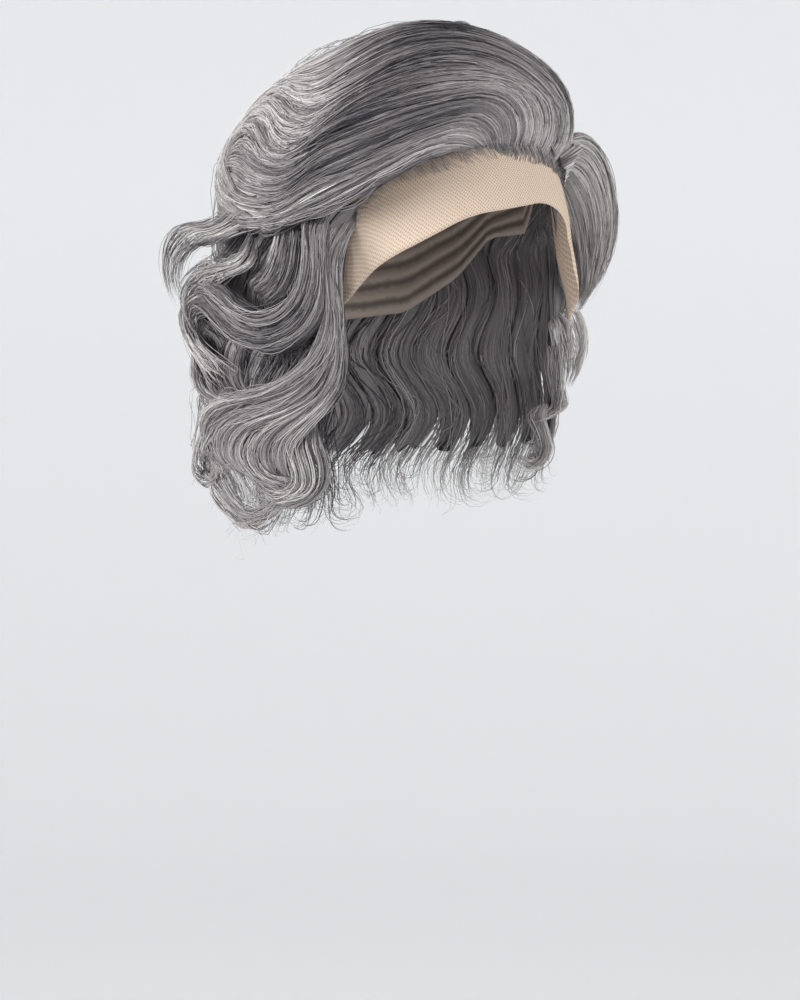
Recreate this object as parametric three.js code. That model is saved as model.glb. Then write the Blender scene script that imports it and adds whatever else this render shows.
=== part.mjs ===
// Lace front wig: a cap, a sheer lace front and wavy shoulder-length locks.
// Millimetres, +Z up. The face opening looks along -Y and +X is the wearer's left.
// The origin is the inside of the cap at the crown, where the head bears on it.
import * as THREE from 'three';

// Head form the wig is shaped on: an ellipsoid dome over an elliptic cylinder
const HEAD_HALF_WIDTH = 77;
const HEAD_HALF_LENGTH = 97;
const CROWN_HEIGHT = 95;
const DOME_DROP = (CROWN_HEIGHT * Math.PI) / 2;

// Walls and gaps
const CAP_WALL = 1.8;
const LACE_WALL = 1.0;
const HAIR_CLEARANCE = 3.6;
const LOCK_GAP = 0.7;
const SEAM_GAP = 1.5;
const LACE_OVERLAP = 25;

// Waves: the turn about the vertical axis that the hair makes as it falls
const WAVE_LENGTH = 77;
const WAVE_START = 95;
const WAVE_RAMP = 50;
const WAVE_BACK_TURN = 107;
const ROOT_RAMP = 60;

// Sections of one lock
const UPPER_STATIONS = 12;
const LOWER_STATIONS = 14;
const HANG_DROP = 160;
const OUTER_POINTS = [0, 0.25, 0.5, 0.75, 1];
const INNER_POINTS = [1, 0.5, 0];
const GROOVE_SHARE = 0.2;
const FREE_EDGE_SHARE = 0.65;
const ROOT_THICKNESS = 1.2;
const LEAST_THICKNESS = 7;
const TIP_LENGTH = 38;
const TIP_SHARE = 0.4;

const HAIR_COLOUR = 0x8f8b8c;
const CAP_COLOUR = 0x6f6560;
const LACE_COLOUR = 0xcbb39f;

// Angles are degrees round the head from the front, positive to the wearer's left.
// Drops are millimetres from the crown down the head.

// Partings between locks, from the right temple round the back to the left temple.
// hang: angle where it falls, swing: wave turn in degrees, rise: length to full height
const PARTINGS = [
  { hang: -75, root: [-77, 152], via: [[-76, 156]], end: 310, swing: 2, rise: 40 },
  { hang: -87, root: [-62, 128], via: [[-76, 137]], end: 320, swing: 7, rise: 50 },
  { hang: -99, root: [-44, 116], via: [[-66, 115]], end: 328, swing: 11, rise: 50 },
  { hang: -112, root: [-26, 110], via: [[-52, 99], [-84, 106]], end: 330, swing: 13, rise: 50 },
  { hang: -125, root: [-12, 108], via: [[-34, 84], [-78, 82], [-108, 104]], end: 322, swing: 13, rise: 50 },
  { hang: -139, root: [0, 107], via: [[-16, 74], [-62, 60], [-118, 80]], end: 328, swing: 10, rise: 50 },
  { hang: -152, root: [10, 108], via: [[4, 66], [-40, 36], [-126, 58]], end: 318, swing: 8, rise: 50 },
  { hang: -165, root: [19, 110], via: [[20, 62], [10, 22], [-145, 36]], end: 324, swing: 7, rise: 50 },
  { hang: -177, root: [27, 113], via: [[34, 64], [60, 28], [-172, 34]], end: 316, swing: 6, rise: 50 },
  { hang: -189, root: [43, 93], via: [[58, 54], [100, 36], [166, 50]], end: 322, swing: 6, rise: 45 },
  { hang: -201, root: [60, 72], via: [[92, 54], [136, 60]], end: 314, swing: 6, rise: 40 },
  { hang: -213, root: [53, 86], via: [[86, 71], [124, 80]], end: 318, swing: 6, rise: 28 },
  { hang: -226, root: [48, 97], via: [[80, 86], [112, 100]], end: 310, swing: 6, rise: 24 },
  { hang: -239, root: [44, 107], via: [[76, 98]], end: 314, swing: 6, rise: 24 },
  { hang: -251, root: [43, 114], via: [[71, 109]], end: 306, swing: 6, rise: 24 },
  { hang: -263, root: [51, 120], via: [[70, 122]], end: 308, swing: 5, rise: 24 },
  { hang: -275, root: [63, 130], via: [[74, 139]], end: 300, swing: 4, rise: 24 },
  { hang: -287, root: [75, 150], via: [[74, 155]], end: 294, swing: 2, rise: 24 },
];

// Outer form of the hair: height above the head on each side at each drop
const CROWN_LIFT = 29;
const HAIR_FORM = [
  { drop: 0, right: 29, back: 29, left: 29, front: 29 },
  { drop: 40, right: 32, back: 34, left: 29, front: 28 },
  { drop: 70, right: 34, back: 37, left: 29, front: 27 },
  { drop: 100, right: 37, back: 39, left: 35, front: 26 },
  { drop: 120, right: 39, back: 40, left: 48, front: 26 },
  { drop: 142, right: 33, back: 36, left: 57, front: 26 },
  { drop: 165, right: 40, back: 40, left: 50, front: 26 },
  { drop: 185, right: 47, back: 44, left: 32, front: 24 },
  { drop: 196, right: 49, back: 46, left: 22, front: 24 },
  { drop: 215, right: 48, back: 48, left: 24, front: 24 },
  { drop: 228, right: 43, back: 43, left: 18, front: 24 },
  { drop: 255, right: 52, back: 50, left: 12, front: 24 },
  { drop: 285, right: 50, back: 49, left: 9, front: 20 },
  { drop: 305, right: 40, back: 40, left: 7, front: 16 },
  { drop: 330, right: 25, back: 27, left: 6, front: 12 },
];

// Underside of the hair: height above the head
const HAIR_UNDERSIDE = [
  { drop: 0, height: HAIR_CLEARANCE },
  { drop: 185, height: HAIR_CLEARANCE },
  { drop: 240, height: 10 },
  { drop: 330, height: 12 },
];

// Front edges: where the hair starts, alike on both sides, and where the lace ends
const HAIRLINE = [
  { angle: 0, drop: 106 },
  { angle: 12, drop: 107 },
  { angle: 26, drop: 112 },
  { angle: 55, drop: 122 },
  { angle: 68, drop: 136 },
  { angle: 78, drop: 160 },
];
const LACE_EDGE = [
  { angle: -79, drop: 198 },
  { angle: -68, drop: 176 },
  { angle: -60, drop: 167 },
  { angle: -44, drop: 155 },
  { angle: -28, drop: 142 },
  { angle: 10, drop: 133 },
  { angle: 28, drop: 141 },
  { angle: 44, drop: 157 },
  { angle: 55, drop: 182 },
  { angle: 60, drop: 203 },
  { angle: 67, drop: 207 },
];
const LACE_RIGHT = -79;
const LACE_LEFT = 67;
const LACE_COLUMNS = 28;
const LACE_ROWS = 5;

// The left temple tab of the lace stands off the head: where it starts, how far, and its folds
const TAB_START = 38;
const TAB_FULL = 60;
const TAB_LEVEL = 0.35;
const TAB_LIFT = 10;
const TAB_FOLD = 1.4;
const TAB_FOLD_LENGTH = 13;

// Lower edge of the cap, alike on both sides: ear tabs, ear cut-outs and nape
const CAP_EDGE = [
  { angle: 0, drop: 81 },
  { angle: 12, drop: 82 },
  { angle: 26, drop: 87 },
  { angle: 55, drop: 97 },
  { angle: 68, drop: 111 },
  { angle: 79, drop: 131 },
  { angle: 86, drop: 150 },
  { angle: 104, drop: 152 },
  { angle: 118, drop: 176 },
  { angle: 140, drop: 198 },
  { angle: 180, drop: 205 },
];
const CAP_COLUMNS = 40;
const CAP_ROWS = 7;
const CAP_FIRST_RING = 20;

// Loose curls outside the locks. spine: angle, drop and height above the hair form
const CURLS = [
  {
    name: 'flip_curl',
    width: 13,
    thickness: 5,
    spine: [[-110, 154, 4], [-119, 150, 7], [-126, 150, 15], [-131, 158, 24], [-132, 173, 26],
      [-129, 187, 18], [-123, 195, 9]],
  },
  {
    name: 'left_end_curl',
    width: 5,
    thickness: 3.5,
    spine: [[69, 258, -8], [66, 268, -9], [64, 281, -10], [64, 293, -10], [67, 301, -9], [71, 306, -8]],
  },
  {
    name: 'back_end_curl',
    width: 8,
    thickness: 4,
    spine: [[-120, 262, 3], [-127, 268, 5], [-132, 279, 8], [-132, 291, 9], [-127, 301, 7]],
  },
];
const CURL_STATIONS = 13;
const CURL_SIDES = 6;
const CURL_END_SHARE = 0.3;

const radians = THREE.MathUtils.degToRad;
const clamp01 = (value) => Math.min(1, Math.max(0, value));
const smooth = (value) => THREE.MathUtils.smoothstep(value, 0, 1);

// Straight-line reading of one column of a table
function readTable(rows, keyColumn, valueColumn, key) {
  if (key <= rows[0][keyColumn]) return rows[0][valueColumn];
  for (let i = 1; i < rows.length; i += 1) {
    const low = rows[i - 1];
    const high = rows[i];
    if (key <= high[keyColumn]) {
      const share = (key - low[keyColumn]) / (high[keyColumn] - low[keyColumn]);
      return low[valueColumn] + share * (high[valueColumn] - low[valueColumn]);
    }
  }
  return rows[rows.length - 1][valueColumn];
}

// Point of the head form at an angle and a drop
function headPoint(angle, drop) {
  const tilt = Math.min(drop, DOME_DROP) / CROWN_HEIGHT;
  const below = Math.max(drop - DOME_DROP, 0);
  return new THREE.Vector3(
    HEAD_HALF_WIDTH * Math.sin(tilt) * Math.sin(radians(angle)),
    -HEAD_HALF_LENGTH * Math.sin(tilt) * Math.cos(radians(angle)),
    CROWN_HEIGHT * (Math.cos(tilt) - 1) - below,
  );
}

// Nearest reading of the head form under a point: base point, outward direction and drop
function headUnder(point) {
  const dome = new THREE.Vector3(
    point.x / HEAD_HALF_WIDTH,
    point.y / HEAD_HALF_LENGTH,
    Math.max(point.z / CROWN_HEIGHT + 1, 0),
  ).normalize();
  const base = new THREE.Vector3(
    dome.x * HEAD_HALF_WIDTH,
    dome.y * HEAD_HALF_LENGTH,
    dome.z > 0 ? CROWN_HEIGHT * (dome.z - 1) : point.z,
  );
  const out = new THREE.Vector3(
    dome.x / HEAD_HALF_WIDTH,
    dome.y / HEAD_HALF_LENGTH,
    dome.z / CROWN_HEIGHT,
  ).normalize();
  const drop = dome.z > 0 ? CROWN_HEIGHT * Math.acos(dome.z) : DOME_DROP - CROWN_HEIGHT - point.z;
  return { base, out, drop };
}

// Height of the outer hair form over the head
function hairLift(drop, out) {
  const read = (side) => readTable(HAIR_FORM, 'drop', side, drop);
  return (
    CROWN_LIFT * clamp01(out.z) ** 2 +
    read('right') * clamp01(-out.x) ** 2 +
    read('left') * clamp01(out.x) ** 2 +
    read('back') * clamp01(out.y) ** 2 +
    read('front') * clamp01(-out.y) ** 2
  );
}

function undersideLift(drop, lift) {
  const height = readTable(HAIR_UNDERSIDE, 'drop', 'height', drop);
  return drop > DOME_DROP ? Math.min(height, lift - LEAST_THICKNESS) : height;
}

// Even samples of a smooth curve through points
function evenSamples(points, count) {
  const curve = new THREE.CatmullRomCurve3(points, false, 'centripetal');
  curve.arcLengthDivisions = 400;
  return curve.getSpacedPoints(count - 1);
}

// One parting as stations on the head: the upper stretch to the hang line, then the fall
function partingStations(row) {
  const pathPoints = [row.root, ...row.via, [row.hang, HANG_DROP]];
  const upper = evenSamples(pathPoints.map(([angle, drop]) => headPoint(angle, drop)), UPPER_STATIONS);
  const stations = upper.map((point) => headUnder(point));
  for (let i = 1; i <= LOWER_STATIONS; i += 1) {
    const drop = HANG_DROP + (i / LOWER_STATIONS) * (row.end - HANG_DROP);
    stations.push(headUnder(headPoint(row.hang, drop)));
  }
  let length = 0;
  stations.forEach((station, i) => {
    if (i > 0) length += station.base.distanceTo(stations[i - 1].base);
    station.fromRoot = length;
  });
  const up = new THREE.Vector3(0, 0, 1);
  const waved = stations.map((station) => {
    const grown = smooth((station.drop - WAVE_START) / WAVE_RAMP) * smooth(station.fromRoot / ROOT_RAMP);
    const phase = (2 * Math.PI * (station.drop - WAVE_BACK_TURN)) / WAVE_LENGTH;
    const turn = -row.swing * grown * Math.cos(phase);
    const turned = headUnder(station.base.clone().applyAxisAngle(up, radians(turn)));
    return { ...turned, fromRoot: station.fromRoot, toTip: length - station.fromRoot };
  });
  waved.forEach((station, i) => {
    const before = waved[Math.max(i - 1, 0)].base;
    const after = waved[Math.min(i + 1, waved.length - 1)].base;
    const along = after.clone().sub(before).normalize();
    station.side = new THREE.Vector3().crossVectors(along, station.out).normalize();
  });
  return waved;
}

// Closed body from rings of equal size, with a fan at each end. The closing side is split along
// the other diagonal, so that the facing walls of neighbouring locks match.
function ringBody(rings) {
  const size = rings[0].length;
  const points = rings.flat();
  const centre = (ring) => ring.reduce((sum, p) => sum.add(p), new THREE.Vector3()).divideScalar(size);
  const firstCentre = points.length;
  points.push(centre(rings[0]), centre(rings[rings.length - 1]));
  const faces = [];
  for (let i = 0; i + 1 < rings.length; i += 1) {
    for (let j = 0; j < size; j += 1) {
      const k = (j + 1) % size;
      const a = i * size + j;
      const b = i * size + k;
      if (k > j) faces.push([a, b, b + size], [a, b + size, a + size]);
      else faces.push([a, b, a + size], [b, b + size, a + size]);
    }
  }
  const last = (rings.length - 1) * size;
  for (let j = 0; j < size; j += 1) {
    const k = (j + 1) % size;
    faces.push([firstCentre, k, j], [firstCentre + 1, last + j, last + k]);
  }
  return closedGeometry(points, faces);
}

// Geometry whose faces look outwards
function closedGeometry(points, faces) {
  const volume = faces.reduce((sum, [a, b, c]) => {
    const normal = new THREE.Vector3().crossVectors(points[b], points[c]);
    return sum + points[a].dot(normal);
  }, 0);
  const ordered = volume < 0 ? faces.map(([a, b, c]) => [a, c, b]) : faces;
  const geometry = new THREE.BufferGeometry().setFromPoints(points);
  geometry.setIndex(ordered.flat());
  geometry.computeVertexNormals();
  return geometry;
}

// Lock of hair between two neighbouring partings, crowned between its grooves
function lockBody(index, partings) {
  const rowRight = PARTINGS[index];
  const rowLeft = PARTINGS[index + 1];
  const edgeShare = (row) => (row > 0 && row < PARTINGS.length - 1 ? GROOVE_SHARE : FREE_EDGE_SHARE);
  const rings = partings[index].map((edgeA, i) => {
    const edgeB = partings[index + 1][i];
    const a = edgeA.base.clone().addScaledVector(edgeA.side, LOCK_GAP / 2);
    const b = edgeB.base.clone().addScaledVector(edgeB.side, -LOCK_GAP / 2);
    const tip = smooth(Math.min(edgeA.toTip, edgeB.toTip) / TIP_LENGTH);
    const share = TIP_SHARE + (1 - TIP_SHARE) * tip;
    const pointAt = (u, isTop) => {
      const under = headUnder(a.clone().lerp(b, 0.5 + (u - 0.5) * share));
      const lift = hairLift(under.drop, under.out);
      const floor = undersideLift(under.drop, lift);
      if (!isTop) return under.base.addScaledVector(under.out, floor);
      const fromRoot = edgeA.fromRoot * (1 - u) + edgeB.fromRoot * u;
      const riseLength = rowRight.rise * (1 - u) + rowLeft.rise * u;
      const rise = Math.sin((clamp01(fromRoot / riseLength) * Math.PI) / 2) ** 1.5;
      const groove = edgeShare(u < 0.5 ? index : index + 1) * (lift - floor) * (2 * u - 1) ** 2;
      const full = Math.max(lift - floor - groove - ROOT_THICKNESS, 0);
      return under.base.addScaledVector(under.out, floor + ROOT_THICKNESS + full * rise * share);
    };
    return [...OUTER_POINTS.map((u) => pointAt(u, true)), ...INNER_POINTS.map((u) => pointAt(u, false))];
  });
  return ringBody(rings);
}

// Tapered flat curl swept along its spine
function curlBody(curl) {
  const spine = evenSamples(
    curl.spine.map(([angle, drop, above]) => {
      const under = headUnder(headPoint(angle, drop));
      return under.base.addScaledVector(under.out, hairLift(under.drop, under.out) + above);
    }),
    CURL_STATIONS,
  );
  const rings = spine.map((centre, i) => {
    const before = spine[Math.max(i - 1, 0)];
    const after = spine[Math.min(i + 1, spine.length - 1)];
    const along = after.clone().sub(before).normalize();
    const out = headUnder(centre).out;
    const wide = new THREE.Vector3().crossVectors(along, out).normalize();
    const thick = new THREE.Vector3().crossVectors(wide, along);
    const share = CURL_END_SHARE + (1 - CURL_END_SHARE) * Math.sin((Math.PI * i) / (spine.length - 1));
    return Array.from({ length: CURL_SIDES }, (_, j) => {
      const turn = (2 * Math.PI * j) / CURL_SIDES;
      return centre
        .clone()
        .addScaledVector(wide, curl.width * share * Math.cos(turn))
        .addScaledVector(thick, curl.thickness * share * Math.sin(turn));
    });
  });
  return ringBody(rings);
}

// Closed cloth wall from a grid of places on the head: a dome closed at its crown, or a sheet
// with side edges
function clothBody(columns, rows, isDome, placeAt, wall) {
  const points = [];
  const faces = [];
  const wide = isDome ? columns : columns + 1;
  for (const level of [0, 1]) {
    for (let j = 0; j <= rows; j += 1) {
      for (let i = 0; i < wide; i += 1) {
        const { angle, drop, height } = placeAt(i / columns, j / rows);
        const under = headUnder(headPoint(angle, drop));
        points.push(under.base.addScaledVector(under.out, height + level * wall));
      }
    }
  }
  const layer = wide * (rows + 1);
  const crown = points.length;
  if (isDome) points.push(new THREE.Vector3(0, 0, 0), new THREE.Vector3(0, 0, wall));
  const at = (i, j) => j * wide + (i % wide);
  const addBothSides = (a, b, c) => faces.push([a, c, b], [a + layer, b + layer, c + layer]);
  const addWall = (p, q) => faces.push([p, q, q + layer], [p, q + layer, p + layer]);
  for (let j = 0; j < rows; j += 1) {
    for (let i = 0; i < columns; i += 1) {
      addBothSides(at(i, j), at(i + 1, j), at(i + 1, j + 1));
      addBothSides(at(i, j), at(i + 1, j + 1), at(i, j + 1));
    }
  }
  for (let i = 0; i < columns; i += 1) {
    addWall(at(i + 1, rows), at(i, rows));
    if (isDome) {
      faces.push([crown, at(i, 0), at(i + 1, 0)]);
      faces.push([crown + 1, at(i + 1, 0) + layer, at(i, 0) + layer]);
    } else {
      addWall(at(i, 0), at(i + 1, 0));
    }
  }
  if (!isDome) {
    for (let j = 0; j < rows; j += 1) {
      addWall(at(0, j + 1), at(0, j));
      addWall(at(columns, j), at(columns, j + 1));
    }
  }
  return closedGeometry(points, faces);
}

function capBody() {
  return clothBody(CAP_COLUMNS, CAP_ROWS, true, (u, v) => {
    const angle = u * 360 - 180;
    const edge = readTable(CAP_EDGE, 'angle', 'drop', Math.abs(angle)) - SEAM_GAP;
    return { angle, drop: CAP_FIRST_RING + v * (edge - CAP_FIRST_RING), height: 0 };
  }, CAP_WALL);
}

function laceBody() {
  return clothBody(LACE_COLUMNS, LACE_ROWS, false, (u, v) => {
    const angle = LACE_RIGHT + u * (LACE_LEFT - LACE_RIGHT);
    const top = readTable(HAIRLINE, 'angle', 'drop', Math.abs(angle)) - LACE_OVERLAP;
    const edge = readTable(LACE_EDGE, 'angle', 'drop', angle);
    return { angle, drop: top + v * (edge - top), height: laceStand(angle, v) };
  }, LACE_WALL);
}

// Height of the free left temple tab over the head, with soft upright folds
function laceStand(angle, v) {
  const free = smooth((angle - TAB_START) / (TAB_FULL - TAB_START));
  const low = smooth((v - TAB_LEVEL) / (1 - TAB_LEVEL));
  const fold = TAB_FOLD * Math.sin((2 * Math.PI * angle) / TAB_FOLD_LENGTH);
  return free * low * (TAB_LIFT + fold);
}

function addPiece(group, name, geometry, colour, roughness) {
  const material = new THREE.MeshStandardMaterial({ color: colour, roughness, metalness: 0 });
  const mesh = new THREE.Mesh(geometry, material);
  mesh.name = name;
  group.add(mesh);
}

function buildWig() {
  const group = new THREE.Group();
  addPiece(group, 'cap', capBody(), CAP_COLOUR, 0.9);
  addPiece(group, 'lace_front', laceBody(), LACE_COLOUR, 0.85);
  const partings = PARTINGS.map(partingStations);
  for (let i = 0; i + 1 < partings.length; i += 1) {
    const name = `lock_${String(i + 1).padStart(2, '0')}`;
    addPiece(group, name, lockBody(i, partings), HAIR_COLOUR, 0.5);
  }
  CURLS.forEach((curl) => addPiece(group, curl.name, curlBody(curl), HAIR_COLOUR, 0.5));
  return group;
}

export default buildWig();
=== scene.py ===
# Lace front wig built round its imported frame: cap, lace front, locks of wavy hair and stage.
import math

import bmesh
import bpy
import numpy as np
from bpy.props import FloatProperty, FloatVectorProperty, IntProperty, PointerProperty
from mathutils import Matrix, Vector


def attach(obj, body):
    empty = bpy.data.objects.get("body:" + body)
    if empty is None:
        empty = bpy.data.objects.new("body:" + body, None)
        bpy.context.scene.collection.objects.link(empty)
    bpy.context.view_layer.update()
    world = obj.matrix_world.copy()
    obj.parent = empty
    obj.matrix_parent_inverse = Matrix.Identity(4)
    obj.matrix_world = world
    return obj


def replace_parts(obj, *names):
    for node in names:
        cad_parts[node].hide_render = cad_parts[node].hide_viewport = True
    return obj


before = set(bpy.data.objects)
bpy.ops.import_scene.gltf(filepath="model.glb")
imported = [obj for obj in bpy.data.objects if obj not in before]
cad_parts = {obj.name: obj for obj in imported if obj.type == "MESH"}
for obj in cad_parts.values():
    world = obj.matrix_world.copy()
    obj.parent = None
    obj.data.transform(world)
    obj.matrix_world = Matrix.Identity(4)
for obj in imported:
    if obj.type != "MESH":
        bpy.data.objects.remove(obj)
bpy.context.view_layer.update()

bl_info = {
    "name": "Lace Front Wig",
    "version": (1, 0, 0),
    "blender": (4, 5, 0),
    "location": "View3D > Sidebar > Wig",
    "description": "Builds a wavy wig with a lace front round its packed frame",
    "category": "Add Mesh",
}

# Angles are degrees round the inner form from the front, positive to the wearer's left.
# Drops are metres from the crown down the inner form, heights are metres above it.

# Inner form of the wig: an ellipsoid dome over an elliptic cylinder
HEAD_HALF_WIDTH = 0.077
HEAD_HALF_LENGTH = 0.097
CROWN_HEIGHT = 0.095
DOME_DROP = CROWN_HEIGHT * math.pi / 2

# Waves: the turn about the vertical axis that the hair makes as it falls
WAVE_LENGTH = 0.077
WAVE_START = 0.095
WAVE_RAMP = 0.050
WAVE_BACK_TURN = 0.107
ROOT_RAMP = 0.060
HANG_DROP = 0.160

# Section of a lock
GROOVE_SHARE = 0.2
FREE_EDGE_SHARE = 0.65
ROOT_THICKNESS = 0.0012
LEAST_THICKNESS = 0.007
TIP_LENGTH = 0.038
TIP_SHARE = 0.75

# Partings between locks, from the right temple round the back to the left temple.
# hang: angle where it falls, root and via: angles and drops that it runs over before that
# end: drop of its tip, swing: wave turn in degrees, rise: length to full height
PARTING_COLUMNS = ("hang", "root", "via", "end", "swing", "rise")
PARTINGS = (
    (-75, (-77, 0.152), ((-76, 0.156),), 0.310, 2, 0.040),
    (-87, (-62, 0.128), ((-76, 0.137),), 0.320, 7, 0.050),
    (-99, (-44, 0.116), ((-66, 0.115),), 0.328, 11, 0.050),
    (-112, (-26, 0.110), ((-52, 0.099), (-84, 0.106)), 0.330, 13, 0.050),
    (-125, (-12, 0.108), ((-34, 0.084), (-78, 0.082), (-108, 0.104)), 0.322, 13, 0.050),
    (-139, (0, 0.107), ((-16, 0.074), (-62, 0.060), (-118, 0.080)), 0.328, 10, 0.050),
    (-152, (10, 0.108), ((4, 0.066), (-40, 0.036), (-126, 0.058)), 0.318, 8, 0.050),
    (-165, (19, 0.110), ((20, 0.062), (10, 0.022), (-145, 0.036)), 0.324, 7, 0.050),
    (-177, (27, 0.113), ((34, 0.064), (60, 0.028), (-172, 0.034)), 0.316, 6, 0.050),
    (-189, (46, 0.095), ((58, 0.054), (100, 0.036), (166, 0.050)), 0.322, 6, 0.045),
    (-201, (60, 0.072), ((92, 0.054), (136, 0.060)), 0.314, 6, 0.040),
    (-213, (52, 0.085), ((86, 0.071), (124, 0.080)), 0.318, 6, 0.028),
    (-226, (44, 0.095), ((80, 0.086), (112, 0.100)), 0.310, 6, 0.024),
    (-239, (35, 0.104), ((76, 0.098),), 0.314, 6, 0.024),
    (-251, (29, 0.113), ((71, 0.109),), 0.306, 6, 0.024),
    (-263, (51, 0.120), ((70, 0.122),), 0.308, 5, 0.024),
    (-275, (63, 0.130), ((74, 0.139),), 0.300, 4, 0.024),
    (-287, (75, 0.150), ((74, 0.155),), 0.294, 2, 0.024),
)

# Outer form of the hair: height above the inner form on each side at each drop
CROWN_LIFT = 0.029
HAIR_FORM_COLUMNS = ("drop", "right", "back", "left", "front")
HAIR_FORM = (
    (0.000, 0.029, 0.029, 0.029, 0.029),
    (0.040, 0.032, 0.034, 0.029, 0.028),
    (0.070, 0.034, 0.037, 0.029, 0.027),
    (0.100, 0.037, 0.039, 0.035, 0.026),
    (0.120, 0.039, 0.040, 0.048, 0.026),
    (0.142, 0.033, 0.036, 0.057, 0.026),
    (0.165, 0.040, 0.040, 0.050, 0.026),
    (0.185, 0.047, 0.044, 0.032, 0.024),
    (0.196, 0.049, 0.046, 0.022, 0.024),
    (0.215, 0.048, 0.048, 0.024, 0.024),
    (0.228, 0.043, 0.043, 0.018, 0.024),
    (0.255, 0.052, 0.050, 0.012, 0.024),
    (0.285, 0.050, 0.049, 0.009, 0.020),
    (0.305, 0.040, 0.040, 0.007, 0.016),
    (0.330, 0.025, 0.027, 0.006, 0.012),
)
HAIR_UNDERSIDE_DROPS = (0.000, 0.185, 0.240, 0.330)
HAIR_UNDERSIDE_HEIGHTS = (0.0036, 0.0036, 0.010, 0.012)

# Front edges: where the hair starts, alike on both sides, and where the lace ends
HAIRLINE_ANGLES = (0, 12, 26, 55, 68, 78)
HAIRLINE_DROPS = (0.106, 0.107, 0.112, 0.122, 0.136, 0.160)
LACE_EDGE_ANGLES = (-79, -68, -60, -44, -28, 10, 28, 44, 55, 60, 67)
LACE_EDGE_DROPS = (0.198, 0.176, 0.167, 0.155, 0.142, 0.133, 0.141, 0.157, 0.182, 0.203, 0.207)
LACE_OVERLAP = 0.025
LACE_EDGE_SOFTENING = 7

# Left temple tab of the lace: where it leaves the inner form, how far, and its folds
TAB_START = 38
TAB_FULL = 60
TAB_LEVEL = 0.35
TAB_LIFT = 0.010
TAB_FOLD = 0.0014
TAB_FOLD_ANGLE = 13

# Lower edge of the cap, alike on both sides: front seam, ear cut-outs and nape
CAP_EDGE_ANGLES = (0, 12, 26, 55, 68, 79, 86, 104, 118, 140, 180)
CAP_EDGE_DROPS = (0.081, 0.082, 0.087, 0.097, 0.111, 0.131, 0.150, 0.152, 0.176, 0.198, 0.205)
CAP_SEAM_GAP = 0.0015
CAP_ROW_SOFTENING = 24
CAP_EDGE_POWER = 4

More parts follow.
